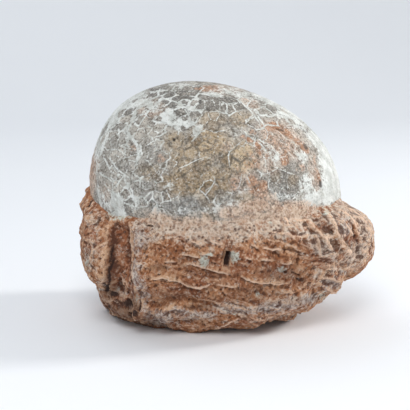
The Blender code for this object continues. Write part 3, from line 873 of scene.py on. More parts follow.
ROCK_COLUMNS = 520
ROCK_RINGS = 172
SOCKET_RINGS = 10
SOCKET_CLEARANCE = 0.5 * MM
ROCK_FRONT_CROWDING = 0.45

# From here on, heights and depths are in mm, and widths and places in units of the frame.
# Chisel marks: height of the edge, its width, and the bends of the line. The blade has left a
# shallow scoop just below each edge.
CHISEL_MARKS = (
    (1.0, 1.8, ((147, 276), (155, 279), (163, 277), (170, 280), (180, 282), (188, 286), (200, 288),
        (212, 284))),
    (0.7, 1.5, ((181, 254), (190, 255.5), (200, 258))),
    (0.8, 1.7, ((183, 266), (190, 263.5), (200, 266), (207, 269), (215, 271), (224, 273), (233, 275.5))),
    (0.8, 1.7, ((240, 276), (247, 280), (253, 282), (262, 283), (275, 284), (290, 283))),
    (0.5, 1.4, ((190, 240), (196, 243), (202, 246))), (0.6, 1.4, ((250, 244), (254, 246), (259, 249))),
    (0.6, 1.4, ((262, 247), (269, 249), (276, 251))), (0.6, 1.4, ((245, 257), (249, 259), (253, 260))),
    (0.6, 1.5, ((260, 260), (266, 260), (273, 261))), (0.6, 1.6, ((200, 255), (208, 254.5), (215, 257))),
    (0.5, 1.4, ((208, 240), (216, 243), (224, 244))), (0.5, 1.4, ((163, 262), (170, 261), (177, 262))),
    (0.5, 1.4, ((216, 284), (226, 286), (238, 288))), (0.5, 1.3, ((278, 262), (286, 264), (294, 263))),
    (0.4, 1.3, ((292, 246), (298, 250), (303, 252))), (0.5, 1.4, ((270, 290), (282, 293), (296, 292))),
)
# Pale ridges of the right and of the knob: height, width, bends.
RIDGES = (
    (2.0, 2.6, ((324.5, 208), (333, 224), (335.5, 234), (342.5, 246), (352, 256))),
    (2.0, 2.8, ((308, 219), (313, 227), (323.5, 238), (329.5, 246), (333, 252))),
    (1.3, 2.2, ((314, 231), (317.5, 241), (320, 256))),
    (1.2, 1.8, ((336, 236), (343, 241), (349, 251), (346, 256))),
    (0.8, 1.8, ((283, 215), (286, 219), (289, 226))),
    (0.8, 1.6, ((284.5, 231), (290.5, 234.5), (296.5, 242))),
    (0.8, 1.6, ((294, 219.5), (301, 220), (308, 219))),
    (1.4, 2.2, ((353, 222), (358, 232), (361.5, 244))), (1.3, 2.0, ((360, 247), (366, 254.5))),
    (0.7, 1.4, ((346, 243), (351, 250), (347, 254))), (0.8, 1.4, ((334, 264), (334.5, 271))),
    (0.5, 1.3, ((325, 269), (342, 269), (357, 268))), (0.8, 1.6, ((321, 278), (333, 278), (340, 284))),
    (0.9, 1.8, ((320, 283), (328, 289), (335.5, 292.5))),
    (0.6, 1.5, ((342, 206), (351, 209), (360, 215), (367, 223))),
    (0.6, 1.4, ((340, 211), (349, 215), (357, 222))), (0.5, 1.4, ((366, 222), (369.5, 232), (371, 241))),
    (0.8, 1.5, ((342, 219), (349, 229), (352, 238))),
    (0.7, 1.4, ((336, 208), (345, 212), (353, 219), (358, 226))),
    (0.8, 1.5, ((343, 250), (350, 254), (356, 260))), (0.5, 1.4, ((297, 243), (306, 246), (314, 250))),
    (0.6, 1.6, ((93, 250), (99, 246), (108, 241))),
    (0.7, 1.6, ((129, 218), (131.5, 228), (131, 250), (132, 272), (134, 290))),
    (0.5, 1.6, ((84, 232), (90, 240), (93, 250), (90, 262))),
    (0.9, 1.8, ((97, 288), (104, 297), (113, 303), (122, 309))),
    (0.8, 1.6, ((111, 287), (118, 293), (127, 298))), (0.7, 1.6, ((114, 311), (124, 313), (134, 318))),
    (0.7, 1.6, ((120, 279), (126, 285), (130, 292))),
    (0.7, 1.8, ((160, 309), (168, 307.5), (180, 308.5))),
    (0.8, 1.8, ((240, 317), (232, 321), (225, 325), (212, 329.5))),
    (0.6, 1.5, ((88, 212), (92, 205), (96, 200))),
    (0.5, 1.5, ((262, 318), (275, 315), (290, 311), (303, 304))),
)
# Cuts and cracks: depth, width, bends.
CUTS = (
    (3.0, 4.6, ((229.5, 252), (227.5, 259), (225.5, 267))),
    (1.3, 3.0, ((109, 246), (108, 256), (109.5, 264), (107.5, 272), (108.5, 282), (106, 293))),
    (1.6, 2.2, ((90.5, 200), (89.5, 204), (87.5, 208))), (1.0, 1.4, ((146, 226.5), (153, 226.5))),
    (1.0, 1.6, ((154, 274), (160, 274.5))), (1.0, 1.4, ((291, 272), (300, 276))),
    (0.8, 1.4, ((297, 279), (304, 283))), (0.8, 1.3, ((282, 250), (292, 251))),
    (0.9, 1.5, ((357, 228), (360, 234), (362, 240))), (0.8, 1.4, ((361, 234), (368, 243))),
    (0.8, 1.4, ((371, 241), (373, 247))), (0.7, 1.4, ((347, 207), (356, 208.5))),
    (0.7, 1.4, ((350, 212), (360, 216))), (0.8, 1.5, ((352, 229), (356, 237), (358, 244))),
    (0.8, 1.5, ((345, 241), (349, 247), (353, 251))), (0.7, 1.4, ((364, 226), (367, 233))),
    (0.9, 1.6, ((140, 292), (141, 302), (139, 312))),
    (0.8, 1.4, ((130, 236), (131, 250), (131, 266), (130, 284))),
)
# Pits: depth, x, y, half width, half height, and a turn where there is one.
PITS = (
    (1.8, 290.5, 215, 2.8, 2.8, 20), (1.4, 306, 225, 2.4, 1.8), (1.0, 276, 254, 3.0, 1.4),
    (1.0, 299, 260, 1.8, 1.6), (1.3, 284.5, 273, 2.8, 2.2, 30), (0.9, 277, 253, 3.4, 1.8),
    (0.9, 301, 281, 4.2, 2.2, 20), (1.0, 308, 284.5, 2.0, 1.6), (1.2, 319, 224, 2.4, 1.5, 20),
    (0.9, 325, 228, 3.4, 1.6, 35), (0.6, 175, 285, 1.6, 1.2), (0.6, 155, 286, 3.0, 1.2),
    (0.6, 173, 297, 1.6, 1.2), (0.6, 167, 256, 1.6, 1.2), (1.1, 98.5, 219, 2.4, 1.8, -30),
    (1.1, 107, 217, 2.0, 3.0, -40), (0.9, 95, 224, 1.8, 1.2), (1.0, 88, 238, 1.5, 2.0),
    (1.0, 333, 246, 2.2, 1.8), (1.4, 331.5, 231.5, 2.0, 2.6), (0.8, 347, 240, 2.4, 2.0),
    (0.8, 353, 236, 2.2, 1.8), (2.0, 112, 296, 4.0, 3.0, 20), (2.1, 128, 305, 5.0, 3.6, 10),
    (1.3, 120, 286, 3.6, 2.8), (1.8, 105, 287, 2.6, 4.4, -20), (1.7, 133, 314, 4.6, 2.8, 10),
    (1.1, 118, 304, 4.0, 2.2, 20), (1.0, 109, 306, 3.4, 2.0, 30), (1.0, 96, 293, 2.4, 1.8, 30),
    (0.9, 127, 293, 2.6, 2.2), (0.7, 268, 245, 2.0, 1.2), (0.7, 280, 242, 2.0, 1.2),
    (0.7, 212, 263, 1.6, 1.2), (0.7, 244, 268, 1.8, 1.3), (0.7, 196, 276, 1.6, 1.2),
    (0.6, 262, 272, 1.8, 1.2),
)
# Broken-out hollows: depth, x, y, half width, half height.
HOLLOWS = (
    (1.6, 119.5, 253, 11.5, 31), (1.0, 122, 295, 12, 14),
)
# Patches: strength, x, y, half width, half height, and a turn where there is one. Beige and
# lilac sand, green-white spots, redder sand and shaded places.
# On the knob the beige is laid on strong, partly its own pale sand and partly painted light where the lamp
# at the right falls on it.
BEIGE = (
    (1.0, 165, 224, 32, 10), (1.0, 218, 228, 34, 11), (0.9, 262, 218, 28, 9), (0.9, 243, 233, 9, 7),
    (0.8, 150, 234, 14, 10), (0.8, 200, 239, 26, 7), (0.7, 270, 231, 24, 6, 10),
    (0.7, 300, 213, 16, 5, 10), (1.2, 352, 211, 22, 12, 22), (0.9, 335, 219, 11, 11, 10),
    (1.1, 366, 228, 9, 18), (1.0, 358, 252, 17, 10, -30), (0.9, 324, 246, 22, 13, 40),
    (0.7, 345, 266, 22, 8, -15), (0.6, 322, 272, 16, 10, -35), (0.6, 94, 222, 8, 10),
    (0.45, 92, 252, 9, 22), (0.5, 270, 317, 30, 4, -8), (1.1, 284, 303, 34, 6, -10),
    (0.9, 232, 309, 18, 5), (0.7, 204, 317, 14, 4),
)
LILAC = (
    (0.9, 139, 240, 7, 16), (0.9, 135, 274, 4.5, 16), (0.8, 143, 294, 6, 18, -6), (0.8, 121, 294, 8, 8),
    (1.0, 160, 318, 16, 8), (0.9, 176, 313, 14, 5), (0.8, 190, 317, 12, 5), (0.7, 209, 316, 10, 4),
    (1.0, 276, 308, 26, 5, -6), (0.8, 240, 311, 20, 4), (0.8, 307, 300, 12, 5, -25),
    (0.8, 330, 284, 12, 7, -30), (0.6, 344, 273, 4, 3), (1.1, 343, 228, 8, 9, 10), (0.5, 300, 232, 10, 6),
    (0.5, 89, 262, 4, 12, -10), (0.5, 103, 282, 5, 8), (0.35, 170, 220, 34, 8),
)
WHITE_SPOTS = (
    (0.9, 117, 213, 9, 8, 25), (0.6, 130, 216, 8, 4), (1.0, 204, 261.5, 5.4, 5.4),
    (0.7, 210, 254.5, 6, 1.6), (1.0, 234.5, 257.5, 5.2, 6.4), (0.8, 258, 295, 2.2, 3.6),
    (0.8, 137, 297, 1.4, 4), (0.7, 143.5, 277.5, 1.6, 1.6), (0.9, 306, 268, 1.2, 1.2),
    (0.6, 323, 296, 5, 5), (0.6, 350, 217, 1.4, 3), (0.6, 236, 314, 4, 2), (0.6, 88, 262, 2, 8, -8),
    (0.6, 116.5, 292, 2, 4), (0.7, 283, 270, 4.6, 3.4), (0.5, 329, 209, 8, 8, -20),
    (0.5, 100, 289, 2.4, 2), (0.4, 268, 222, 5, 3),
)
RED = (
    (0.8, 121, 248, 9, 22), (0.6, 175, 292, 24, 8), (0.6, 240, 262, 30, 14), (0.6, 215, 280, 26, 8),
    (0.9, 323, 227, 10, 5, 30), (1.0, 352, 240, 6, 7), (0.6, 325, 258, 14, 8), (0.7, 92, 236, 8, 14),
    (0.3, 260, 320, 24, 4), (0.6, 190, 326, 16, 4), (0.6, 105, 302, 6, 7), (0.5, 270, 270, 24, 10),
    (0.5, 97, 206, 7, 8),
)
SHADED = (
    (0.8, 127, 315, 13, 7), (0.7, 134, 300, 5, 10), (0.7, 200, 308, 18, 2.6, 2), (0.35, 111, 268, 5, 24),
    (0.3, 322, 227, 10, 4, 30), (0.6, 172, 295, 28, 6), (0.6, 278, 272, 24, 8), (0.5, 255, 292, 38, 5, 4),
    (0.4, 205, 277, 22, 4, 10), (0.25, 215, 268, 60, 16, 4), (0.35, 225, 297, 64, 7, 2),
    (0.4, 160, 268, 12, 6), (0.6, 322, 226, 9, 4.5, 35), (0.4, 317, 241, 4, 7, -20),
    (0.3, 303, 248, 14, 7, 20), (0.4, 352, 240, 5, 6), (0.5, 330, 281, 9, 3, 20), (0.4, 341, 236, 4, 3),
    (0.5, 104, 300, 9, 10, 30), (0.9, 122, 312, 20, 8, 14), (0.9, 110.5, 264, 4.5, 26, 2),
    (0.8, 137, 306, 4, 13, -6), (0.7, 112, 292, 9, 9, 20), (0.6, 143, 323, 14, 5, 12),
    (0.5, 302, 280, 6, 4), (0.7, 160, 304, 8, 2.6), (0.5, 231, 248, 3, 2),
)


def block_reach(ray):
    """Distance to the rounded block: its faces' own distances, blended by a power sum."""
    total = 0
    for _, azimuth, elevation, distance in ROCK_FACES:
        facing = ray @ rays(azimuth, -elevation)
        total = total + np.maximum(facing / (distance * MM), 0) ** FACE_SHARPNESS
    return total ** (-1 / FACE_SHARPNESS)


def lumps(azimuth, depression):
    """How far the lumps stand out: each a mound, the exponential of minus the sum of the squared
    shares of half width and half height."""
    total = 0
    for _, middle, low, half_width, half_height, out in LUMPS:
        sideways = ((azimuth - middle + 180) % 360 - 180) * np.cos(np.radians(depression))
        mound = (sideways / half_width) ** 2 + ((depression - low) / half_height) ** 2
        total = total + out * MM * np.exp(-mound)
    return total


def front_forms(point):
    """How far the front face's forms stand out: each a mound, the exponential of minus the
    squared sum of the squared shares of half width and half height."""
    total = 0
    for _, x, z, half_width, half_height, out in FRONT_FORMS:
        sideways = (point[..., 0] - x * MM) / (half_width * MM)
        upwards = (point[..., 2] - z * MM) / (half_height * MM)
        total = total + out * MM * np.exp(-((sideways**2 + upwards**2) ** 2))
    return np.where(point[..., 1] < 0, total, 0)


def broad_unevenness(point):
    """For each size, the sum of plane waves in directions drawn at random."""
    draw = np.random.RandomState(ROUGHNESS_SEED)
    total = 0
    for wavelength, height in ROUGHNESS:
        direction = draw.normal(size=(3, WAVES))
        direction = direction / np.linalg.norm(direction, axis=0)
        phase = draw.uniform(0, 2 * math.pi, WAVES)
        waves = np.sin(point @ direction * (2 * math.pi / (wavelength * MM)) + phase)
        total = total + height * MM * waves.sum(axis=-1) / math.sqrt(WAVES / 2)
    return total


def above_zero(distance):
    """The distance where it is positive, easing to nothing where it is negative: half of the sum
    of the distance and the root of its square plus the blend's square."""
    return (distance + np.sqrt(distance**2 + LIP_BLEND**2)) / 2


def rock_reach(azimuth, depression):
    """Distance from the egg's centre to the broad shape of the rock, and from the lip."""
    ray = rays(azimuth, depression)
    shell_out = egg_reach(ray)
    lip, flare = lip_line(azimuth)
    below = shell_out * np.radians(np.maximum(depression - lip, 0)) + 1e-9
    block = above_zero(block_reach(ray) + lumps(azimuth, depression) - shell_out - CAD_LIP)
    smooth = ((flare * below) ** -LIP_FIT + block**-LIP_FIT) ** (-1 / LIP_FIT)
    point = ray * (shell_out + CAD_LIP + smooth)[..., None]
    uneven = front_forms(point) + broad_unevenness(point)
    broken = smooth + uneven * (1 - np.exp(-((below / LIP_CALM) ** 2)))
    lip_out = LIP_SUNK + (LIP_PROUD - LIP_SUNK) * eased_step(below, 0, LIP_RISE)
    thin = above_zero(broken) - LIP_BLEND / 2 * np.exp(-((below / LIP_RISE) ** 2))
    return shell_out + lip_out + thin, below


def chiselled(place, lines):
    """Edges that a blade left, each (height, width, bends). The rock rises gently to the edge
    and falls steeply below it, both by the exponential of minus a square, into a scoop that
    fades out. Gives the relief, the crest, painted pale as worn edge and partly as highlight,
    and the strip just below it, where painted shadow goes."""
    relief, crest, undercut = (np.zeros(place.shape[:-1]) for _ in range(3))
    crest_width, scoop_at, strip_at, strip_width = 1.35, 2.4, 1.9, 0.9
    for height, width, line in lines:
        away, side, along = beside_line(place, line)
        rise = height * tapered(along)
        slope = np.where(side < 0, width * 1.5, width * 0.55)
        edge = rise * np.exp(-((away / slope) ** 2))
        scoop = away / scoop_at * np.exp(1 - away / scoop_at)
        fall = np.where(side > 0, scoop, 0) * rise * 0.8
        relief = np.where(np.abs(edge - fall) > np.abs(relief), edge - fall, relief)
        worn = np.minimum(1.6 * rise, 1) * np.exp(-((away / crest_width) ** 2))
        crest = np.maximum(crest, worn)
        strip = np.exp(-(((away - strip_at) / strip_width) ** 2))
        below = rise * np.where(side > 0, strip, 0)
        undercut = np.maximum(undercut, below)
    return relief, crest, undercut


def ridged(place, lines):
    """Sharp ridges, each (height, width, bends): slopes up to the line from both sides, all but
    straight. Gives the relief and the crest."""
    total, crest = np.zeros(place.shape[:-1]), np.zeros(place.shape[:-1])
    for height, width, line in lines:
        away, _, along = beside_line(place, line)
        rise = height * tapered(along)
        total = np.maximum(total, rise * np.clip(1 - away / (width * 1.3), 0, 1) ** 1.2)
        crest = np.maximum(crest, np.minimum(rise, 1) * np.exp(-((away / 0.75) ** 2)))
    return total, crest


def cut_in(place, lines):
    """Cuts, each (depth, width, bends): steep-sided grooves, the deepest of them."""
    total = np.zeros(place.shape[:-1])
    for depth, width, line in lines:
        away, _, along = beside_line(place, line)
        half = width * 0.55 * tapered(along, 0.03)
        total = np.maximum(total, depth * np.exp(-((away / half) ** 4)))
    return total


def hollowed(place, hollows):
    """Steep-sided hollows, each (depth, x, y, half width, half height), by the fourth root of
    the sum of the fourth powers of the shares: full depth up to 0.84, nothing from 1.1."""
    total = np.zeros(place.shape[:-1])
    for depth, x, y, half_width, half_height in hollows:
        right, down = (place[..., 0] - x) / half_width, (place[..., 1] - y) / half_height
        off = (right**4 + down**4) ** 0.25
        total = np.maximum(total, depth * (1 - eased_step(off, 0.84, 1.1)))
    return total


rock_azimuth = column_azimuths(ROCK_COLUMNS, ROCK_FRONT_CROWDING)
rock_lip, _ = lip_line(rock_azimuth)
rise = 1 - np.arange(ROCK_RINGS)[:, None] / ROCK_RINGS
rock_depression = rock_lip + (90 - rock_lip) * (0.8 * rise + 0.2 * rise**3)[1:]
rock_depression = np.concatenate([rock_depression, [rock_lip]])
rock_ray = rays(rock_azimuth, rock_depression)
rock_out, rock_below = rock_reach(rock_azimuth, rock_depression)
# No point goes below the floor, so the rock has a small flat foot.
floor_reach = EGG_CENTRE[2] / np.maximum(-rock_ray[..., 2], 1e-6)
rock_points = EGG_CENTRE + rock_ray * np.minimum(rock_out, floor_reach)[..., None]
rock_place = in_frame(rock_points)
rock_front = eased_step(to_camera(rock_points, outward(rock_points)), -0.12, 0.02)
rock_behind = 1 - rock_front

uneven_place = warped(rock_place, rock_points, 0.8, 3, 171)
loose_place = warped(rock_place, rock_points, 3.0, 7, 181)
chisel, crest, undercut = chiselled(warped(rock_place, rock_points, 0.5, 5, 173), CHISEL_MARKS)
ridge, ridge_crest = ridged(uneven_place, RIDGES)
cut = cut_in(uneven_place, CUTS)
pit = 0.8 * blotted(warped(rock_place, rock_points, 2.2, 2.6, 176), PITS, 0.7)


def drawn_out(points, slope, share):
    """The direction that rises to the right by a slope, and the points with a share of their
    distance along it taken away, so that mottle on them is drawn out along it."""
    along = np.array((math.cos(slope), 0, math.sin(slope)))
    return along, points - share * (points @ along)[..., None] * along


# Steps that the break left: a field that grows downwards and wanders is cut into slices, and
# each slice leans out to its lower edge and falls back there. They fade in and out by patches.
STEP_DROP = 5.2 * MM
STEP_SLOPE = math.radians(-12)
along_step, step_point = drawn_out(rock_points, STEP_SLOPE, 0.62)
step_field = -rock_points @ np.cross((0, 1, 0), along_step) / STEP_DROP
step_field = step_field + 1.9 * rough_mottle(step_point, 17, 205, 4, 0.5)
step_share = step_field - np.floor(step_field)
step_patch = eased_step(rough_mottle(step_point, 9, 206, 2), -0.1, 0.45)
step_out = step_patch * (step_share**1.6 * (1 - eased_step(step_share, 0.9, 1.0)) - 0.35)
step_edge = step_patch * eased_step(step_share, 0.72, 0.88)
step_edge = step_edge * (1 - eased_step(step_share, 0.93, 0.98))

# Honeycomb of ridges with hollows between them, drawn out down to the right. Its ridges join the pale
# edges, partly painted highlight, and its hollows get painted shade.
NET_SLOPE = math.radians(-50)
NET_AREAS = (
    (0.15, 366, 236, 10, 22), (0.15, 310, 250, 16, 12, 30), (0.6, 333, 278, 18, 18, -35),
)
_, net_point = drawn_out(rock_points, NET_SLOPE, 0.5)
bend = wander(rock_points, 4, (208, 215, 222), 2)
_, net_gap, net_number = grains(net_point + 1.3 * MM * bend, 5.0, 210)
net_here = blotted(warped(rock_place, rock_points, 3, 7, 215), NET_AREAS) * rock_front
net_here = net_here + rock_behind * eased_step(mottle(rock_points, 30, 214), 0.0, 0.4)
net = np.clip(1 - net_gap / 0.24, 0, 1) ** 1.5 * net_here * (0.35 + 0.65 * net_number)
net_hollow = eased_step(net_gap, 0.3, 0.8) * net_here * net_number

# Grains and small pits all over.
hollow, _, crumb = grains(rock_points + 0.8 * MM * bend, 4.4, 220)
open_pit = (1 - eased_step(hollow, 0.16, 0.36)) * (crumb > 0.75)
small, _, small_number = grains(rock_points + 0.5 * MM * bend, 1.9, 230)
small_pit = (1 - eased_step(small, 0.2, 0.5)) * (small_number > 0.7)
grain_dome = (1 - eased_step(small, 0.1, 0.75)) * (small_number < 0.6)

# The roughness, craggier in some areas and calm at the lip, and all the relief together in mm.
coarse = rough_mottle(rock_points, 8.5, 240, 2)
middle = rough_mottle(rock_points, 3.6, 250, 3, 0.7)
grit = rough_mottle(rock_points, 1.5, 270, 2, 0.8)
calm = 1 - np.exp(-((rock_below / (3.0 * MM)) ** 2))
ROUGH_AREAS = (
    (1.0, 125, 299, 18, 22), (0.9, 354, 232, 24, 28), (0.7, 162, 318, 26, 9),
    (0.6, 328, 282, 20, 14, -35), (0.5, 92, 215, 10, 22),
)
craggy = 1 + 1.1 * blotted(rock_place, ROUGH_AREAS, 0.6) * rock_front
arch = hollowed(uneven_place, HOLLOWS) * rock_front
rock_relief = (
    (0.6 * coarse + 0.6 * middle) * craggy * calm
    + 1.1 * step_out * calm
    + (0.30 * grit + 0.28 * grain_dome) * (0.45 + 0.55 * calm)
    - 0.5 * small_pit * (0.25 + 0.75 * calm)
    - 0.7 * open_pit * calm * (1 - 0.8 * rock_front)
    + rock_front * (0.8 * chisel + ridge - cut - pit)
    + (1.3 * net - 0.5 * net_hollow) * calm
    - arch
)
rock_reach_fine = np.minimum(
    np.linalg.norm(rock_points - EGG_CENTRE, axis=-1) + rock_relief * MM, floor_reach
)
rock_outside = EGG_CENTRE + rock_ray * rock_reach_fine[..., None]

# The socket, a little wider than the egg.
socket_share = np.arange(1, SOCKET_RINGS)[:, None] / SOCKET_RINGS
socket_depression = rock_lip + (90 - rock_lip) * socket_share
socket_ray = rays(rock_azimuth, socket_depression)
socket = EGG_CENTRE + socket_ray * (egg_reach(socket_ray) + SOCKET_CLEARANCE)[..., None]
rock = closed_grid(
    "sandstone_lump",
    EGG_CENTRE + down * EGG_CENTRE[2],
    np.concatenate([rock_outside, socket]),
    EGG_CENTRE + down * (egg_reach(down) + SOCKET_CLEARANCE),
)


def smoothed(amounts, times):
    """Each value made the mean of itself and its four neighbours on the grid, several times."""
    for _ in range(times):
        up_one = np.concatenate([amounts[:1], amounts[:-1]])
        down_one = np.concatenate([amounts[1:], amounts[-1:]])
        beside = np.roll(amounts, 1, axis=1) + np.roll(amounts, -1, axis=1)
        amounts = (amounts + up_one + down_one + beside) / 5
    return amounts


# How far each place stands out from what is round it, near by and further off; it drives the painted
# highlight and painted shade of the relief.
relief_shading = 0.75 * (rock_relief - smoothed(rock_relief, 10))
relief_shading = relief_shading + 0.45 * (rock_relief - smoothed(rock_relief, 50))
in_arch = arch / HOLLOWS[0][0]
outside_arch = rock_front * (1 - in_arch)
beige, lilac, white_spot, red = (
    marked(place, blots, edge, front, rock_behind, rock_points, *strewn)
    for place, blots, edge, front, *strewn in (
        (loose_place, BEIGE, 0.7, outside_arch, 28, 300, 0.1, 0.4),
        (loose_place, LILAC, 0.6, outside_arch, 22, 301, 0.12, 0.4),
        (uneven_place, WHITE_SPOTS, 0.45, rock_front, 30, 302, 0.42, 0.55),
        (loose_place, RED, 0.35, rock_front, 20, 303, 0.1, 0.4),
    )
)
red = np.maximum(red, in_arch)
# Painted shade in the shaded places, in the net's hollows and inside the arched hollow.
shaded = blotted(loose_place, SHADED, 0.6) * rock_front + 0.35 * net_hollow + 0.22 * in_arch
patchy = eased_step(rough_mottle(rock_points, 2.6, 330, 3), -0.4, 0.2)
# Pale crests of chisel marks, ridges, the net and the steps: partly their own worn, freshly broken sand and
# partly a painted highlight along the edges.
edge_wear_and_highlight = rock_front * (1.2 * crest + 1.4 * ridge_crest) * (0.7 + 0.3 * patchy)
edge_wear_and_highlight = np.clip(edge_wear_and_highlight + (0.6 * net + 0.85 * step_edge) * patchy, 0, 1)
film_here = np.maximum(blotted(loose_place, FILM_AREAS) * rock_front, 0.5 * rock_behind)
rock_film = 1 - eased_step(rock_below / MM + 6 * rough_mottle(rock_points, 12, 320), 2, 15)
rock_film = rock_film * film_here * (1 - in_arch)
# Painted shade in the depths of cuts and pits, in the strip under each chisel edge, and in the small and
# open pits.
recess_shade = rock_front * (cut / 1.4 + pit / 1.8 + 0.28 * undercut)
recess_shade = recess_shade + 0.45 * small_pit * (1 - 0.7 * rock_film) + 0.4 * open_pit * rock_behind
rock_amounts = dict(
    relief_shading=np.clip(0.9 * relief_shading + 0.5, 0, 1), beige=beige, lilac=lilac, white_spot=white_spot,
    red=red, shaded=shaded, edge_wear_and_highlight=edge_wear_and_highlight, recess_shade=np.clip(recess_shade, 0, 1), film=rock_film,
)
for name, amounts in rock_amounts.items():
    stain(rock, name, np.concatenate([amounts, np.zeros(socket.shape[:-1])]))

stone = Finish("red sandstone", 0.9)
on_stone = {name: stone.layer(name) for name in rock_amounts}
sand = stone.grain(1.3, 4, 0.75)
mid = stone.grain(3.4, 5, 0.7)
broad = stone.grain(12, 4)
grit_dots, grit_number = stone.crumbs(1.35, 0.5)
scratch = stone.streaks(1.1, 7, 48)
sand_and_mid = stone.times(stone.plus(sand, mid), 0.5)
roughen = stone.between(mid, 0.3, 0.7, -0.4, 0.4)
roughen = stone.plus(stone.between(sand, 0.3, 0.7, -0.3, 0.3), roughen)

# The red-brown body, with paler and darker beds.
colour = stone.over((160, 102, 66), (210, 153, 110), stone.between(mid, 0.34, 0.66))
colour = stone.flecked(
    colour, ((140, 84, 52), broad, 0.47, 0.6, 0.75), ((200, 158, 122), broad, 0.45, 0.33, 0.7)
)
colour = stone.over(colour, (150, 86, 56), stone.times(on_stone["red"], 0.7))
colour = stone.flecked(colour, ((220, 168, 124), sand, 0.52, 0.72, 0.7))

# Beige, lilac and film, each speckled from a darker to a paler tint.
for name, low_tint, high_tint, most in (
    ("beige", (186, 158, 138), (226, 209, 192), 0.9),
    ("lilac", (126, 108, 102), (204, 192, 184), 0.9),
    ("film", (192, 160, 136), (224, 206, 188), 0.92),
):
    speckled = stone.over(low_tint, high_tint, stone.between(sand_and_mid, 0.4, 0.6))
    amount = stone.plus(on_stone[name], roughen)
    colour = stone.over(colour, speckled, stone.between(amount, 0.1, 0.95, 0.0, most))
scratched = stone.sum_up("MAXIMUM", on_stone["beige"], on_stone["film"])
scratched = stone.times(scratched, stone.between(scratch, 0.56, 0.7, 0.0, 0.6))
colour = stone.over(colour, (236, 220, 206), scratched)

# Painted highlight where it stands out, painted shade where it lies low, and pale and dark grains.
colour = stone.flecked(
    colour,
    ((112, 74, 54), scratch, 0.44, 0.3, 0.45),
    ((228, 188, 154), on_stone["relief_shading"], 0.56, 0.9, 0.6),
    ((80, 48, 32), on_stone["relief_shading"], 0.46, 0.12, 0.8),
    ((96, 58, 40), grit_number, 0.26, 0.1, 0.5),
    ((214, 178, 150), grit_number, 0.82, 0.94, 0.35),
)
dark_sand = stone.sum_up("SUBTRACT", 0.72, stone.times(on_stone["film"], 0.35))
dark_sand = stone.times(dark_sand, stone.between(sand, 0.46, 0.3))
colour = stone.over(colour, (78, 47, 33), dark_sand)

# Broken edges, pale as fresh breaks and partly as painted highlight, green-white spots, painted shade in
# shaded places, and painted shade in the depths of cuts and pits.
broken_edge_and_highlight = stone.plus(on_stone["edge_wear_and_highlight"], stone.between(sand, 0.35, 0.65, -0.2, 0.12))
colour = stone.flecked(colour, ((238, 204, 178), broken_edge_and_highlight, 0.2, 0.95, 0.9))
spot_edge = stone.between(sand_and_mid, 0.36, 0.64, -0.5, 0.5)
spot_edge = stone.plus(on_stone["white_spot"], spot_edge)
spot_colour = stone.over((176, 176, 160), (220, 222, 210), stone.between(sand, 0.4, 0.62))
colour = stone.over(colour, spot_colour, stone.between(spot_edge, 0.3, 1.1, 0.0, 0.95))
colour = stone.over(colour, (74, 44, 32), stone.times(on_stone["shaded"], 0.7))
recess_shade_here = stone.plus(on_stone["recess_shade"], stone.between(sand, 0.3, 0.7, 0.25, -0.25))
colour = stone.flecked(colour, ((44, 26, 18), recess_shade_here, 0.25, 0.95, 0.88))
height = stone.plus(stone.times(sand, 0.75), stone.times(grit_dots, -0.35))
stone.finish(colour, stone.between(sand, 0.3, 0.7, 0.96, 0.8), height, 1.1)
rock.data.materials.append(stone.material)
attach(rock, "root")
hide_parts("matrix")


# The table top and the wall behind it: one pale paper sheet that curves up at the back.
SHEET_HALF_WIDTH = 3.0
SHEET_FRONT = -1.6
BEND_START = 0.9
BEND_RADIUS = 0.8
WALL_HEIGHT = 2.4

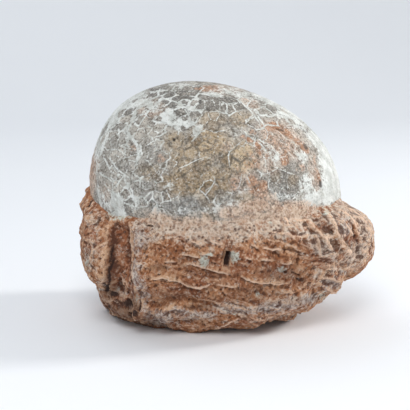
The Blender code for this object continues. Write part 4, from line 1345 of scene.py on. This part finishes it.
quarter = np.linspace(0, math.pi / 2, 20)[1:]
sheet_y = np.concatenate(
    [
        np.linspace(SHEET_FRONT, BEND_START, 8),
        BEND_START + BEND_RADIUS * np.sin(quarter),
        [BEND_START + BEND_RADIUS],
    ]
)
sheet_z = np.concatenate([np.zeros(8), BEND_RADIUS * (1 - np.cos(quarter)), [WALL_HEIGHT]])
sheet_x = np.tile((-SHEET_HALF_WIDTH, SHEET_HALF_WIDTH), len(sheet_y))
sheet_points = np.stack([sheet_x, np.repeat(sheet_y, 2), np.repeat(sheet_z, 2)], axis=-1)
sheet_faces = [(2 * k, 2 * k + 1, 2 * k + 3, 2 * k + 2) for k in range(len(sheet_y) - 1)]
sheet_mesh = bpy.data.meshes.new("floor")
sheet_mesh.from_pydata(sheet_points.tolist(), [], sheet_faces)
sheet_mesh.shade_smooth()
sheet = bpy.data.objects.new("floor", sheet_mesh)
bpy.context.scene.collection.objects.link(sheet)
paper = Finish("pale paper", 0.8)
paper_colour = paper.over((238, 240, 244), (243, 245, 248), paper.grain(400, 2))
paper.put(paper_colour, paper.shader.inputs["Base Color"])
sheet_mesh.materials.append(paper.material)


# Soft studio light: the strongest lamp at the right and a little behind, a broad one over the
# front, one for the wall, and an even pale surrounding. Each lamp is a square sheet of light:
# its name, place, side, watts and colour.
SOFT_LAMPS = (
    ("key", (1.06, 0.22, 0.58), 0.22, 8.6, (1.0, 0.985, 0.96)),
    ("front", (-0.12, -0.85, 0.98), 0.6, 6.9, (0.98, 0.99, 1.0)),
    ("wall", (-0.8, 0.8, 1.45), 1.2, 6.4, (0.94, 0.97, 1.0)),
)
LAMP_AIM = np.array((0.0, 0.0, 60)) * MM
for lamp_name, lamp_place, side, watts, lamp_colour in SOFT_LAMPS:
    lamp = bpy.data.lights.new(lamp_name, "AREA")
    lamp.size = side
    lamp.energy = watts
    lamp.color = lamp_colour
    lamp_object = bpy.data.objects.new(lamp_name, lamp)
    lamp_object.location = lamp_place
    x, y, z = np.array(lamp_place) - LAMP_AIM
    tilt = math.atan2(math.hypot(x, y), z)
    lamp_object.rotation_euler = (tilt, 0, math.atan2(y, x) + math.pi / 2)
    bpy.context.scene.collection.objects.link(lamp_object)

surround = bpy.data.worlds.new("pale surrounding")
surround.use_nodes = True
even_light = surround.node_tree.nodes["Background"]
even_light.inputs["Color"].default_value = (0.92, 0.96, 1.0, 1)
even_light.inputs["Strength"].default_value = 0.46
bpy.context.scene.world = surround
bpy.context.scene.view_settings.view_transform = "Standard"
